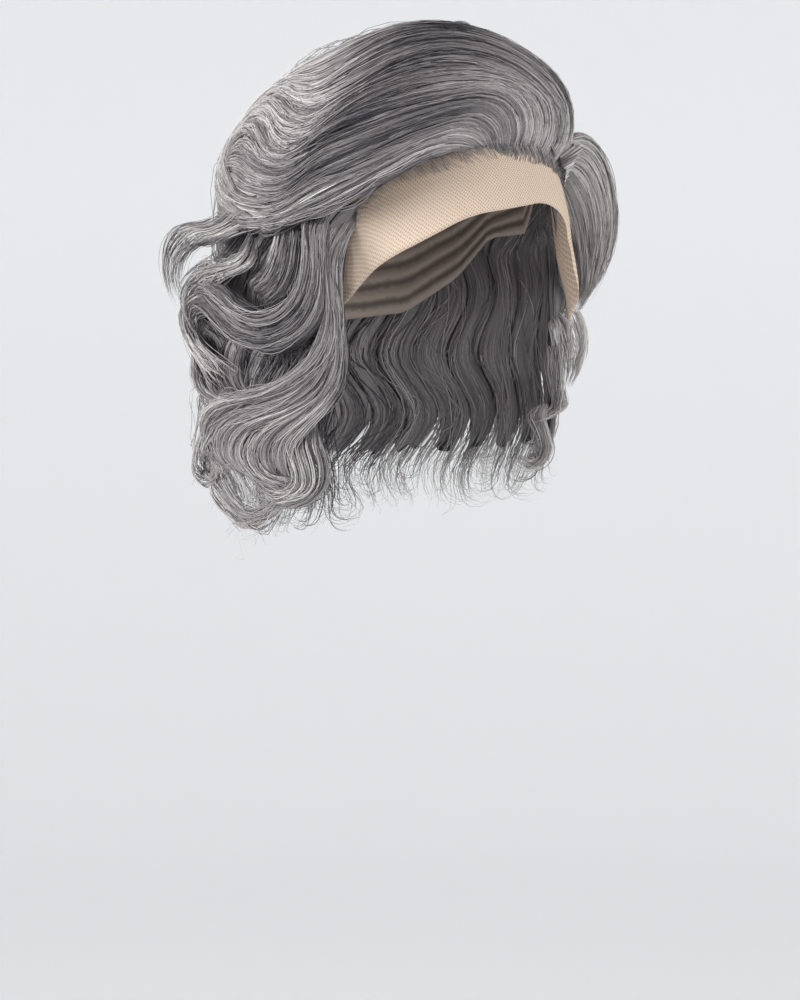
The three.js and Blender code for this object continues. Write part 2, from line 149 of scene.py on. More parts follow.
# Swaths of hair that show in the photograph. Each lies between two neighbouring lines of a flow.
# lines: x and y in the photograph's frame, root to tip, laid on the hair form
# root, level: share of the hair form's height at the root and along the swath
# tip: the same share at the tip, where it differs, tone: lightening from root to tip, spread along it,
# partly the fibre's own grey and partly painted shade and painted light
# carry: length that it runs on for, past the contour, shades: darkening of each swath
# angles: of the upright planes that lines lie in, where the hair form isn't met from the front
# bulge: height of the dome across it, core: whether it is packed, spill: share that its core is wider by
# node: the imported node that its strands stand for
FLOWS = (
    # Its tone dips where it runs over the top of the crown: painted shade
    dict(name="crown_sweep", root=0.03, level=0.82, carry=0.030, bulge=0.004, strands=200,
         tone=(0.08, 0.0, -0.52, 0.16, 0.28, 0.22), lines=(
        ((514, 150), (521, 132), (512, 109), (486, 97), (440, 104), (390, 119), (350, 134), (325, 142),
         (307, 155), (288, 165), (272, 162), (260, 150), (254, 138), (247, 132), (238, 138), (229, 152),
         (222, 172), (221, 196)),
        ((531, 154), (539, 134), (535, 108), (510, 85), (470, 79), (420, 85), (375, 101), (345, 116),
         (325, 129), (308, 146), (292, 154), (280, 150), (272, 140), (268, 128), (261, 119), (250, 124),
         (238, 140), (227, 160), (221, 184)),
        ((545, 160), (557, 142), (558, 118), (540, 91), (506, 66), (464, 54), (420, 58), (385, 73),
         (360, 89), (340, 101), (318, 112), (302, 109), (290, 99), (281, 93), (268, 100), (252, 120),
         (237, 143), (227, 164)),
        ((552, 164), (566, 144), (566, 112), (543, 76), (500, 48), (456, 36), (410, 37), (375, 50),
         (350, 66), (330, 80), (312, 87), (300, 84), (288, 84), (272, 97), (254, 118), (238, 142),
         (229, 160)),
        ((556, 166), (571, 146), (569, 110), (546, 74), (503, 44), (458, 28), (410, 26), (370, 36),
         (335, 51), (305, 68), (280, 89), (258, 113), (240, 139), (230, 158)),
    )),
    # Its tone dips where it runs over the top of the crown: painted shade
    dict(name="lobe_sweep", spill=0.10, root=0.03, level=0.88, tip=0.80, carry=0.050, bulge=0.005,
         strands=200, tone=(0.0, -0.30, -0.34, 0.14, 0.26), lines=(
        ((488, 149), (484, 139), (462, 133), (430, 142), (384, 164), (345, 181), (314, 192), (297, 206),
         (277, 215), (253, 213), (237, 203), (227, 189)),
        ((500, 149), (501, 135), (482, 117), (440, 123), (390, 141), (350, 160), (322, 172), (305, 186),
         (287, 196), (267, 199), (248, 195), (236, 185), (229, 173)),
        ((514, 150), (521, 132), (512, 108), (486, 96), (440, 103), (390, 118), (350, 133), (325, 143),
         (307, 156), (288, 166), (272, 163), (260, 152), (253, 141), (245, 137), (236, 144),
         (229, 159)),
    )),
    # Its tone dips where it runs over the top: painted shade
    dict(name="hairline_sweep", root=0.03, level=0.85, tip=0.78, carry=0.045, bulge=0.004, strands=180,
         tone=(0.0, -0.16, -0.1, 0.0), lines=(
        ((470, 149), (450, 152), (420, 162), (376, 187), (338, 209), (303, 222), (270, 230), (243, 229),
         (222, 225)),
        ((492, 149), (484, 137), (464, 131), (430, 138), (384, 158), (345, 176), (314, 193), (291, 208),
         (265, 215), (242, 213), (222, 207)),
    )),
    dict(name="contour_fall", root=0.60, level=0.72, tip=0.66, bulge=0.002, strands=110,
         tone=(0.1, 0.15, 0.05), lines=(
        ((270, 94), (248, 120), (232, 148), (223, 176), (220, 204), (222, 224)),
        ((292, 104), (266, 130), (250, 154), (241, 180), (238, 204), (240, 222)),
    )),
    # Darkened tone: painted shade in the hollow below the U-shaped lobe
    dict(name="swirl", root=0.50, level=0.62, bulge=0.004, strands=100, tone=(-0.26, -0.22, -0.12),
         lines=(
        ((282, 222), (276, 240), (268, 258), (258, 272), (246, 282)),
        ((293, 216), (291, 240), (286, 266), (274, 287), (256, 298)),
        ((302, 216), (302, 242), (298, 272), (285, 297), (266, 311)),
    )),
    # Darkened tone and shade: painted shade in the hollow below the U-shaped lobe
    dict(name="side_fall", root=0.62, level=0.72, bulge=0.004, strands=90, tone=(-0.2, -0.1, 0.0),
         shades=(0.0, 0.14), lines=(
        ((200, 306), (196, 332), (194, 356), (192, 375), (198, 391), (212, 400), (226, 410)),
        ((226, 320), (221, 345), (219, 367), (222, 386), (234, 397), (250, 404), (264, 411)),
        ((252, 334), (246, 354), (243, 373), (248, 389), (260, 398), (276, 403), (292, 406)),
    )),
    # Darkest tone: painted shade in the deep pocket under the U-shaped lobe
    dict(name="pocket_fall", root=0.56, level=0.64, bulge=0.003, strands=110, tone=(-0.55, -0.55, -0.3),
         lines=(
        ((246, 332), (240, 352), (237, 372), (242, 388), (254, 398), (272, 403), (288, 407)),
        ((282, 340), (274, 358), (264, 376), (260, 390), (268, 400), (284, 404), (300, 402)),
        ((322, 330), (314, 350), (300, 370), (292, 386), (298, 396), (308, 398), (318, 394)),
    )),
    dict(name="u_lobe", root=0.05, level=0.90, bulge=0.007, strands=210,
         tone=(0.0, -0.1, -0.34, -0.16, 0.0), lines=(
        ((314, 196), (308, 216), (308, 238), (308, 258), (304, 280), (292, 300), (278, 311), (262, 313),
         (248, 305), (236, 293), (224, 284), (211, 282), (199, 290), (192, 306)),
        ((326, 198), (319, 220), (318, 247), (318, 272), (310, 298), (293, 318), (267, 328), (243, 320),
         (226, 303), (213, 293), (200, 297), (193, 313), (198, 333)),
        ((338, 200), (331, 220), (328, 242), (328, 265), (329, 290), (322, 317), (303, 340), (272, 352),
         (243, 345), (223, 327), (210, 312), (199, 314), (195, 330), (204, 349)),
    )),
    dict(name="face_edge", root=0.05, level=0.80, bulge=0.006, strands=180, tone=(-0.02, -0.03, 0.02),
         lines=(
        ((342, 204), (333, 224), (329, 252), (331, 285), (331, 315), (321, 345), (300, 368), (270, 385),
         (240, 393), (217, 399), (205, 413), (200, 433), (193, 452), (185, 467)),
        ((350, 210), (340, 228), (334, 256), (335, 290), (338, 320), (334, 350), (318, 375), (290, 395),
         (258, 405), (232, 413), (218, 429), (214, 446), (222, 462), (236, 474)),
        ((354, 216), (346, 232), (338, 256), (338, 286), (341, 320), (343, 350), (338, 380), (320, 402),
         (290, 418), (263, 430), (248, 447), (246, 463), (258, 478), (278, 486)),
        ((357, 222), (350, 236), (343, 258), (341, 286), (344, 325), (347, 355), (344, 385), (332, 405),
         (313, 425), (299, 443), (295, 462), (299, 482), (302, 497)),
    )),
    dict(name="flip_top", node="flip_curl", root=0.85, level=0.95, bulge=0.003, strands=130,
         tone=(0.1, 0.15), core=False, lines=(
        ((228, 190), (221, 211), (205, 221), (186, 223), (172, 229), (164, 243), (162, 263), (166, 286),
         (174, 308)),
        ((256, 230), (238, 235), (216, 244), (200, 246), (189, 254), (184, 266), (182, 280), (186, 294),
         (194, 308)),
    )),
    dict(name="flip_mid", root=0.70, level=0.95, bulge=0.004, strands=120, tone=(0.04, 0.12),
         core=False, lines=(
        ((249, 231), (250, 246), (240, 255), (222, 260), (202, 263), (188, 272), (181, 286), (182, 302),
         (190, 322)),
        ((257, 238), (258, 258), (247, 270), (226, 278), (206, 283), (192, 294), (187, 312), (196, 336),
         (212, 358)),
    )),
    dict(name="flip_low", root=0.70, level=0.90, bulge=0.004, strands=90, tone=(0.05, 0.1), core=False,
         lines=(
        ((226, 283), (206, 287), (190, 298), (183, 313), (185, 330), (193, 350), (204, 372),
         (214, 392)),
        ((232, 296), (212, 300), (199, 308), (196, 322), (206, 338), (220, 352), (236, 364),
         (252, 376)),
    )),
    dict(name="back_end", node="back_end_curl", root=0.75, level=0.85, bulge=0.003, strands=70,
         tone=(0.05, 0.12), core=False, lines=(
        ((206, 420), (198, 440), (194, 460), (195, 478), (206, 487), (219, 480), (222, 466)),
        ((222, 424), (212, 442), (208, 458), (206, 470), (209, 477), (215, 474), (216, 464)),
    )),
    dict(name="bowl_end", root=0.65, level=0.80, bulge=0.004, strands=110, tone=(0.05, 0.12),
         core=False, lines=(
        ((204, 472), (209, 490), (219, 508), (234, 523), (252, 529), (270, 522), (286, 506),
         (295, 490)),
        ((222, 464), (228, 482), (238, 498), (250, 507), (264, 507), (278, 497), (287, 482)),
    )),
    dict(name="mid_end", root=0.70, level=0.82, bulge=0.004, strands=110, tone=(0.0, 0.08), core=False,
         lines=(
        ((256, 420), (242, 436), (236, 452), (242, 468), (256, 480), (274, 488), (290, 500)),
        ((286, 420), (270, 436), (262, 452), (266, 468), (278, 478), (292, 482), (304, 490)),
    )),
    dict(name="temple_end", root=0.65, level=0.75, bulge=0.004, strands=110, tone=(-0.05, 0.05),
         core=False, lines=(
        ((318, 424), (324, 444), (331, 468), (328, 488), (312, 502), (290, 506), (268, 500),
         (252, 490)),
        ((300, 430), (304, 452), (310, 470), (312, 484), (302, 495), (286, 497), (270, 490),
         (258, 480)),
        ((284, 428), (287, 450), (293, 468), (296, 478), (290, 486), (278, 487), (266, 480),
         (258, 472)),
    )),
    dict(name="left_lobe", bulge=0.003, strands=130, tone=(0.05, 0.3, 0.25, 0.2), spill=-0.12,
         shades=(0.0, 0.02, 0.16, 0.42), angles=((50, 80), (48, 76), (47, 71), (48, 67), (51, 70)),
         lines=(
        ((553, 158), (562, 142), (572, 133), (584, 134), (598, 146), (608, 170), (614, 200), (614, 228),
         (607, 256), (594, 284), (579, 311)),
        ((552, 163), (566, 152), (580, 152), (593, 166), (602, 190), (606, 216), (603, 244), (594, 276),
         (579, 311)),
        ((551, 168), (564, 168), (577, 178), (587, 198), (592, 222), (592, 248), (587, 278),
         (577, 310)),
        ((551, 172), (558, 188), (566, 208), (573, 234), (577, 262), (578, 286), (575, 308)),
        ((549, 178), (552, 200), (556, 230), (559, 262), (560, 306)),
    )),
    # Lightened tone: painted light on the wig's left side, which the lamps leave in shade
    dict(name="left_fall", bulge=0.004, strands=140, tone=(0.4, 0.45), core=False,
         angles=((70, 72), (70, 73)), lines=(
        ((550, 316), (553, 338), (558, 362), (562, 386)),
        ((574, 302), (584, 322), (586, 344), (578, 368), (570, 388)),
    )),
    # Lightened tone: painted light on the wig's left side, which the lamps leave in shade
    dict(name="left_zigzag", bulge=0.004, strands=100, tone=(0.15, 0.35), core=False,
         angles=((70, 69), (70, 67)), lines=(
        ((546, 342), (545, 366), (549, 388), (550, 404), (538, 414), (524, 420)),
        ((564, 344), (560, 368), (561, 390), (564, 407), (550, 417), (532, 424)),
    )),
    # Lightened tone: painted light on the wig's left side, which the lamps leave in shade
    dict(name="left_end", node="left_end_curl", bulge=0.003, strands=90, tone=(0.2, 0.35), core=False,
         angles=((68, 67), (67, 66)), lines=(
        ((540, 404), (530, 414), (536, 430), (541, 446), (536, 458), (524, 458), (519, 446)),
        ((552, 402), (543, 414), (547, 430), (551, 450), (540, 467), (522, 468), (508, 456)),
    )),
    dict(name="crown_tuft", bulge=0.001, strands=24, tone=(0.0, 0.1), core=False,
         angles=((50, 50), (50, 50)), lines=(
        ((420, 42), (434, 32), (450, 25), (464, 24), (473, 29), (469, 35)),
        ((426, 44), (440, 35), (453, 29), (462, 29), (466, 33), (462, 37)),
    )),
)

# Samples along lines, swaths and strands
CURVE_SAMPLES = 60
LINE_UPPER = 50
LINE_LOWER = 80
LINE_SMOOTHING = 30
SWATH_STATIONS = 48
SWATH_POINTS_LEAST = 12
SWATH_POINTS_MOST = 26
SWATH_POINTS_SPARE = 6
SWATH_POINT_STEP = 0.011
LOCK_STRAND_POINTS = 34
STRAND_CORNERS = 3
BEND_WEIGHT = 0.010
MERGE_DISTANCE = 1e-5

# Seeds of the random draws, after those of the locks, which are their numbers
SWATH_SEED = 100
HAIRLINE_SEED = 500

# Index of the first lock past the front of the part and of the first at the left temple
PART_LOCK = 8
TEMPLE_LOCK = 13

# Where swaths lie over the locks, the locks are thinner, start later and are darkened with painted shade
COVER_EDGE = -0.02
COVER_RAMP = 0.25
COVER_BIAS = 0.3
COVER_GAIN = 3.0
COVERED_SINK = 0.44
# Painted shade on the covered locks, so the gaps between swaths look dark
COVERED_SHADE = 0.50
COVERED_TRIM = 0.028
COVERED_THINNING = 0.35
ROOT_SINK = 0.46
ROOT_SINK_DROP = 0.135
ROOT_SINK_RAMP = 0.04
ROOT_TRIM = 0.002
RISE_POWER = 1.5
LEFT_TEMPLE = np.array([0.87, -0.45, 0.2])
TEMPLE_SINK = 0.75
TEMPLE_NEAR = 0.92
TEMPLE_RAMP = 0.05
TEMPLE_RELEASE = 0.6
TEMPLE_LENGTH = 0.04

# Section of a swath: thinner at its root and tip, domed and rippled across
SWATH_DEPTH = 0.005
SWATH_ROOT_RAMP = 0.15
SWATH_TIP_SINK = 0.7
SWATH_TIP_START = 0.8
SWATH_TIP_RAMP = 0.2
SWATH_TWIST = 0.9
SWATH_RIPPLE = 0.22
SWATH_RIPPLES = 3.5
DOME_POWER = 0.6

# Laying of the lines on the hair form: rise from the root, tuck at the face, run past the contour
LEVEL_RAMP = 0.17
TIP_LEVEL_START = 0.7
TIP_LEVEL_RAMP = 0.3
RAY_REACH = 0.2
RAY_STEPS = 260
RAY_SMOOTHING = 6
FACE_TUCK = 0.6
FACE_FACING = 0.1
FACE_FACING_RAMP = 0.3
FACE_DROP = 0.13
FACE_DROP_RAMP = 0.03
CARRY_STEPS = 14
CARRY_LEVEL = 0.55
CARRY_LOOKBACK = 6

# Combing: wisps, layers of depth, drift and frizz of the strands
WISP_STRANDS = 9
WISPS_LEAST = 4
WISP_CENTRES = (0.2, 0.8)
WISP_SPREAD = 0.4
WISP_DEPTH = 0.10
WANDER = 0.05
OUTER_SHARE = 0.7
OUTER_DEPTHS = (0.88, 1.06)
INNER_DEPTHS = (0.1, 0.88)
UNDER_DEPTH = 0.08
LEAST_DEPTH = 0.03
WEAVE = 0.08
WEAVE_LENGTH = 0.07
LOOSE_START = 0.01
LOOSE_RAMP = 0.06
DRIFT_SPREAD = 0.8
DRIFT_LENGTHS = (0.07, 0.11)
PHASE_SPREAD = 0.6
FRIZZ = 0.0005
FRIZZ_LENGTHS = (0.045, 0.08)
FREE_PHASE = 6.0

# Strands of the locks, and those of swaths with a packed core and of loose ones without
LOCK_SWAY = 0.0032
LOCK_GATHER = 0.5
LOCK_UNDER_SHARE = 0.22
LOCK_SHORTEST = 0.86
# Lightening of the locks from root to tip: partly the fibre's grey, partly painted light on the back,
# which the lamps leave dark
LOCK_TONE = (0.02, 0.12)
SWATH_GATHER = 0.6
SWATH_WIDTH_SHARE = 0.8
SOLID_SWATH = dict(sway=0.0010, shortest=0.8, latest=0.03)
LOOSE_SWATH = dict(sway=0.0022, shortest=0.65, latest=0.22)
STRAND_WIDTHS = (0.6, 1.3)
STRAND_FLATNESS = 0.6
ROOT_WIDTH = 0.55
ROOT_WIDENING = 5.0
TIP_TAPER = 0.8
TIP_TAPER_START = 0.78
TIP_TAPER_RAMP = 0.22

# Curled tips of the locks
CURL_RADIUS = 0.009
CURL_TURN = 2.6
CURL_POINTS = 12
CURL_LOOKBACK = 4
CURL_FLATNESS = 0.6
CURL_SIZES = (0.6, 1.3)
CURL_SIZE_SPREAD = (0.9, 1.1)
CURL_TURNS = (0.2, 1.0)
CURL_TURN_SPREAD = (0.85, 1.15)

# Greys of the strands, from 0 dark to 1 light: the fibre's own mix, with painted shade and painted light
# added
TONE_MIDDLE = 0.55
TONE_WISP_SPREAD = 0.15
TONE_SPREAD = 0.09
# Painted shade on strands that lie deep in a lock or swath
DEEP_SHADE = 0.45
# Painted light on the wig's left side, which the lamps leave in shade
LEFT_LIGHT = 0.25
LEFT_LIGHT_START = 0.5
LEFT_LIGHT_RAMP = 0.4
# Painted light on the roots of the locks past the part, which lie in shade between swaths
PART_LIGHT = 0.35
PART_LIGHT_RATE = 5.0
FREE_TIP_START = 0.62
FREE_TIP_RAMP = 0.25

# Packed cores: where they start and end along a lock or swath, and their section
CORE_START = 0.08
PART_CORE_START = 0.012
CORE_END = 0.89
SWATH_CORE_START = 0.03
SWATH_CORE_END = 0.94
CORE_SPILL = 0.06
CORE_FRINGE = 0.08
CORE_OUTER = 0.6
CORE_TOP = 0.86
CORE_BOTTOM = 0.08
CORE_NARROWING = 0.3
CORE_NARROW_START = 0.88
CORE_NARROW_RAMP = 0.12
CORE_THINNING = 0.85
CORE_THIN_START = 0.8
CORE_THIN_RAMP = 0.2
CORE_COLUMNS = 16
CORE_ROWS = 44
CORE_SEAM = 0.999

# Fine hairs in the lace, from the hairline and from locks and swaths that start there
HAIRLINE_LEVEL = 0.05
FINE_HAIR_HEIGHT = 0.0010
FINE_HAIR_POINTS = 6
FINE_HAIR_LENGTH = 0.032
FINE_HAIR_LENGTHS = (0.4, 1.0)
FINE_HAIR_DEPTHS = (0.6, 1.1)
FINE_HAIR_BEHIND = 0.002
FINE_HAIR_REACH = 0.009
FINE_HAIR_RISE_RATE = 1.4
FINE_HAIR_TONE = (-0.1, 0.0)
FINE_HAIR_WIDTHS = (0.7, 1.2)
LOCK_FINE_HAIRS = 60
SWATH_FINE_HAIRS = 95
FRINGE_HAIRS = 420
FRINGE_ANGLES = 61
FRINGE_LENGTH = 0.015
FRINGE_LENGTHS = (0.5, 1.0)
FRINGE_LEAN = 0.5
FRINGE_LEAN_SPREAD = 0.3
FRINGE_ROOTS = (-0.002, 0.007)
FRINGE_RISE = 0.0025

# Fly-away hairs
LOCK_STRAYS = 5
LOCK_STRAY_LIFT = 0.09
SWATH_STRAYS = 7
SWATH_STRAY_LIFT = 0.6
STRAY_LIFTS = (0.1, 1.0)
STRAY_LIFT_RATE = 1.5
STRAY_DRIFT = 0.003
STRAY_DRIFT_RAMP = 0.06
STRAY_DRIFT_LENGTHS = (0.06, 0.12)
STRAY_SHORTEST = 0.5
STRAY_LATEST = 0.3
STRAY_SMOOTHING = 12
STRAY_POINTS = 28

# Lace and cap sheets: height over the inner form, mesh columns and rows, and size of their patterns
LACE_HEIGHT = 0.0006
CAP_HEIGHT = 0.0004
SHEET_COLUMNS = 96
LACE_ROWS = 18
CAP_ROWS = 28
EDGE_SAMPLES = 9
LACE_WIDTH = 0.25
LACE_DEPTH = 0.06
CAP_DEPTH = 0.15

# Map and attribute of the meshes, the attribute holding each strand's grey with its painted shade and
# painted light, and the share of its column that a strand leaves free in the map
BAKE_MAP = "OFBake"
TONE_AND_PAINTED_SHADE = "tone"
UV_MARGIN = 0.1

# Picture and stage
PHOTO_WIDTH = 800
PHOTO_HEIGHT = 1000
SENSOR_WIDTH = 36.0
FLOOR_RADIUS = 3.2
SWEEP_RADIUS = 1.2
SWEEP_STEPS = 12
WALL_HEIGHT = 2.6
BACKDROP_STEPS = 96
SURROUND_STRENGTH = 0.45
LIGHT_AIM_HEIGHT = -0.12

# Soft white lights: metres from their aim to the picture's right, towards the viewer and up
LIGHTS = (
    dict(name="key", right=-1.7, near=0.9, up=0.5, size=(1.2, 1.4), power=50.0),
    dict(name="fill", right=1.8, near=1.2, up=0.4, size=(1.4, 1.4), power=26.0),
    dict(name="top", right=0.0, near=-0.4, up=1.9, size=(1.6, 1.6), power=2.0),
)


def linear(hex_colour):
    """Linear colour of an sRGB hex value."""
    channels = (int(hex_colour[i:i + 2], 16) / 255 for i in (1, 3, 5))
    return tuple(c / 12.92 if c <= 0.04045 else ((c + 0.055) / 1.055) ** 2.4 for c in channels)


def opaque(colour):
    return (*colour, 1.0)


def length_property(name, description, default):
    return FloatProperty(name=name, description=description, default=default, unit="LENGTH")


def colour_property(name, description, hex_colour):
    return FloatVectorProperty(
        name=name, description=description, subtype="COLOR", default=linear(hex_colour))


class WigSizes(bpy.types.PropertyGroup):
    lock_strands: IntProperty(
        name="Lock Strands", description="Strands in one lock", default=80, min=10)
    strand_width: length_property("Strand Width", "Width of one strand", 0.0008)
    baby_hair_width: length_property("Baby Hair Width", "Width of a fine hair at the hairline", 0.00035)
    lace_thickness: length_property("Lace Thickness", "Thickness of the net", 0.0003)
    lace_mesh: length_property("Lace Mesh", "Distance between threads of the net", 0.0017)
    cap_thickness: length_property("Cap Thickness", "Thickness of the cap net", 0.0008)
    weft_spacing: length_property("Weft Spacing", "Distance between rows of wefts", 0.008)


class WigColours(bpy.types.PropertyGroup):
    hair_dark: colour_property("Dark Hair", "Darkest strands", "#322F35")
    hair_mid: colour_property("Grey Hair", "Most strands", "#989394")
    hair_light: colour_property("Light Hair", "Lightest strands", "#D8D3D0")
    lace: colour_property("Lace", "Threads of the lace net", "#DCC7B3")
    cap: colour_property("Cap", "Threads of the cap net", "#94877E")
    cap_seam: colour_property("Cap Seam", "Sewn edges of the wefts", "#5F5651")
    backdrop: colour_property("Backdrop", "Floor and backdrop", "#EAEBEC")


class WigStage(bpy.types.PropertyGroup):
    azimuth: FloatProperty(
        name="Azimuth", description="Camera's side of the wig", default=math.radians(-40), subtype="ANGLE")
    distance: length_property("Distance", "Camera to the upright axis of the wig", 1.8)
    camera_height: length_property("Camera Height", "Camera above the crown", -0.147)
    aim_height: length_property("Aim Height", "Middle of the picture above the crown", -0.255)
    aim_left: length_property("Aim Left", "Middle of the picture to the left of the axis", 0.0126)
    lens: FloatProperty(name="Lens", description="Focal length in millimetres", default=108.0)
    floor_height: length_property("Floor Height", "Floor above the crown", -1.1)


# Inner form and hair form


def smooth(value):
    value = np.clip(value, 0.0, 1.0)
    return value * value * (3.0 - 2.0 * value)


def unit(vectors):
    return vectors / np.maximum(np.linalg.norm(vectors, axis=-1, keepdims=True), 1e-9)


def head_point(angle, drop):
    """Points of the inner form at angles and drops."""
    angle = np.radians(angle)
    tilt = np.minimum(drop, DOME_DROP) / CROWN_HEIGHT
    below = np.maximum(drop - DOME_DROP, 0.0)
    return np.stack([
        HEAD_HALF_WIDTH * np.sin(tilt) * np.sin(angle),
        -HEAD_HALF_LENGTH * np.sin(tilt) * np.cos(angle),
        CROWN_HEIGHT * (np.cos(tilt) - 1.0) - below,
    ], axis=-1)


def head_under(points):
    """Base point, outward direction and drop of the inner form under each point."""
    half = np.array([HEAD_HALF_WIDTH, HEAD_HALF_LENGTH, CROWN_HEIGHT])
    dome = points / half + np.array([0.0, 0.0, 1.0])
    dome[..., 2] = np.maximum(dome[..., 2], 0.0)
    dome = unit(dome)
    base = dome * half - np.array([0.0, 0.0, CROWN_HEIGHT])
    on_dome = dome[..., 2] > 0.0
    base[..., 2] = np.where(on_dome, base[..., 2], points[..., 2])
    drop = np.where(
        on_dome,
        CROWN_HEIGHT * np.arccos(np.clip(dome[..., 2], 0.0, 1.0)),
        DOME_DROP - CROWN_HEIGHT - points[..., 2],
    )
    return base, unit(dome / half), drop


def height_over(points, base, out):
    return ((points - base) * out).sum(-1)


def form_height(side, drop):
    rows = np.array(HAIR_FORM)
    return np.interp(drop, rows[:, 0], rows[:, HAIR_FORM_COLUMNS.index(side)])


def hair_lift(drop, out):
    """Height of the outer hair form over the inner form."""
    x, y, z = out[..., 0], out[..., 1], out[..., 2]
    facing = {"right": -x, "left": x, "back": y, "front": -y}
    lift = CROWN_LIFT * np.clip(z, 0.0, 1.0) ** 2
    for side, share in facing.items():
        lift = lift + form_height(side, drop) * np.clip(share, 0.0, 1.0) ** 2
    return lift


def underside_lift(drop, lift):
    height = np.interp(drop, HAIR_UNDERSIDE_DROPS, HAIR_UNDERSIDE_HEIGHTS)
    return np.where(drop > DOME_DROP, np.minimum(height, lift - LEAST_THICKNESS), height)


def even_path(points, count):
    """Even samples of a smooth curve through points."""
    points = np.asarray(points, float)
    padded = np.vstack([2 * points[0] - points[1], points, 2 * points[-1] - points[-2]])
    knots = np.concatenate([[0.0], np.cumsum(np.linalg.norm(np.diff(padded, axis=0), axis=1) ** 0.5)])
    fine = []
    for i in range(1, len(padded) - 2):
        t = np.linspace(knots[i], knots[i + 1], CURVE_SAMPLES)[:, None]
        a1, a2, a3 = (
            (knots[i + k] - t) / (knots[i + k] - knots[i + k - 1]) * padded[i + k - 1]
            + (t - knots[i + k - 1]) / (knots[i + k] - knots[i + k - 1]) * padded[i + k]
            for k in (0, 1, 2)
        )
        b1 = ((knots[i + 1] - t) * a1 + (t - knots[i - 1]) * a2) / (knots[i + 1] - knots[i - 1])
        b2 = ((knots[i + 2] - t) * a2 + (t - knots[i]) * a3) / (knots[i + 2] - knots[i])
        fine.append(((knots[i + 1] - t) * b1 + (t - knots[i]) * b2) / (knots[i + 1] - knots[i]))
    fine = np.vstack(fine)
    along = path_lengths(fine)
    wanted = np.linspace(0.0, along[-1], count)
    return np.stack([np.interp(wanted, along, fine[:, axis]) for axis in range(3)], axis=-1)


def softened(values, passes):
    """Values along their first axis, evened with their neighbours, the ends kept."""
    values = np.array(values)
    for _ in range(passes):
        values[1:-1] = (values[:-2] + 2.0 * values[1:-1] + values[2:]) / 4.0
    return values


def path_lengths(path):
    steps = np.linalg.norm(np.diff(path, axis=0), axis=1)
    return np.concatenate([[0.0], np.cumsum(steps)])


def turned(points, degrees):
    """Points turned about the vertical axis, each by its own angle."""
    angle = np.radians(degrees)
    x, y = points[..., 0], points[..., 1]
    return np.stack([
        x * np.cos(angle) - y * np.sin(angle),
        x * np.sin(angle) + y * np.cos(angle),
        points[..., 2],
    ], axis=-1)


def parting_line(row):
    """One parting on the inner form, root to tip, with the wave that it makes as it falls."""
    row = dict(zip(PARTING_COLUMNS, row))
    places = np.array([row["root"], *row["via"], (row["hang"], HANG_DROP)])
    upper = even_path(head_point(places[:, 0], places[:, 1]), LINE_UPPER)
    fall = np.linspace(HANG_DROP, row["end"], LINE_LOWER + 1)[1:]
    flat = head_under(np.vstack([upper, head_point(np.full(LINE_LOWER, row["hang"]), fall)]))
    base, drop = flat[0], flat[2]
    from_root = path_lengths(base)
    grown = smooth((drop - WAVE_START) / WAVE_RAMP) * smooth(from_root / ROOT_RAMP)
    phase = 2 * np.pi * (drop - WAVE_BACK_TURN) / WAVE_LENGTH
    waved = turned(base, -row["swing"] * grown * np.cos(phase))
    waved = head_under(softened(waved, LINE_SMOOTHING))[0]
    return dict(base=waved, from_root=from_root, to_tip=from_root[-1] - from_root, rise=row["rise"])


class Lock:
    """Hair between two neighbouring partings."""

    def __init__(self, index, lines, photo_side):
        self.name = f"lock_{index + 1:02d}"
        self.photo_side = photo_side
        self.right, self.left = lines[index], lines[index + 1]
        self.edge_right = FREE_EDGE_SHARE if index == 0 else GROOVE_SHARE
        self.edge_left = FREE_EDGE_SHARE if index == len(lines) - 2 else GROOVE_SHARE
        to_tip = np.minimum(self.right["to_tip"], self.left["to_tip"])
        self.share = TIP_SHARE + (1.0 - TIP_SHARE) * smooth(to_tip / TIP_LENGTH)
        outward = head_under((self.right["base"] + self.left["base"]) / 2)[1]
        self.cover = smooth(COVER_BIAS + COVER_GAIN * outward[LINE_UPPER:].mean(axis=0) @ photo_side)
        self.root_cover = 0.0
        if index < PART_LOCK:
            self.root_cover = smooth(COVER_BIAS + COVER_GAIN * outward[0] @ photo_side)

    def place(self, across, depth):
        """Points at shares of the lock's width and of its thickness, for every station."""
        spread = (0.5 + (across - 0.5) * self.share)[..., None]
        base, out, drop = head_under(self.right["base"] * (1.0 - spread) + self.left["base"] * spread)
        lift = hair_lift(drop, out)
        floor = underside_lift(drop, lift)
        from_root = self.right["from_root"] * (1.0 - across) + self.left["from_root"] * across
        rise_length = self.right["rise"] * (1.0 - across) + self.left["rise"] * across
        rise = np.sin(np.clip(from_root / rise_length, 0.0, 1.0) * np.pi / 2) ** RISE_POWER
        edge = np.where(across < 0.5, self.edge_right, self.edge_left)
        groove = edge * (lift - floor) * (2.0 * across - 1.0) ** 2
        full = np.maximum(lift - floor - groove - ROOT_THICKNESS, 0.0)
        near_root = smooth((ROOT_SINK_DROP - drop) / ROOT_SINK_RAMP)
        sink = self.covered(out) * (COVERED_SINK + ROOT_SINK * near_root)
        temple = smooth((out @ LEFT_TEMPLE - TEMPLE_NEAR) / TEMPLE_RAMP)
        temple = temple * (1.0 - TEMPLE_RELEASE * smooth((from_root - TEMPLE_LENGTH) / TEMPLE_LENGTH))
        sink = np.maximum(sink, TEMPLE_SINK * temple)
        thickness = ROOT_THICKNESS + full * rise * self.share * (1.0 - sink)
        return base + out * (floor + thickness * depth)[..., None], out

    def covered(self, out):
        """Share to which swaths cover the lock where it faces a direction."""
        return smooth((out @ self.photo_side - COVER_EDGE) / COVER_RAMP)

    def from_root(self):
        return (self.right["from_root"] + self.left["from_root"]) / 2


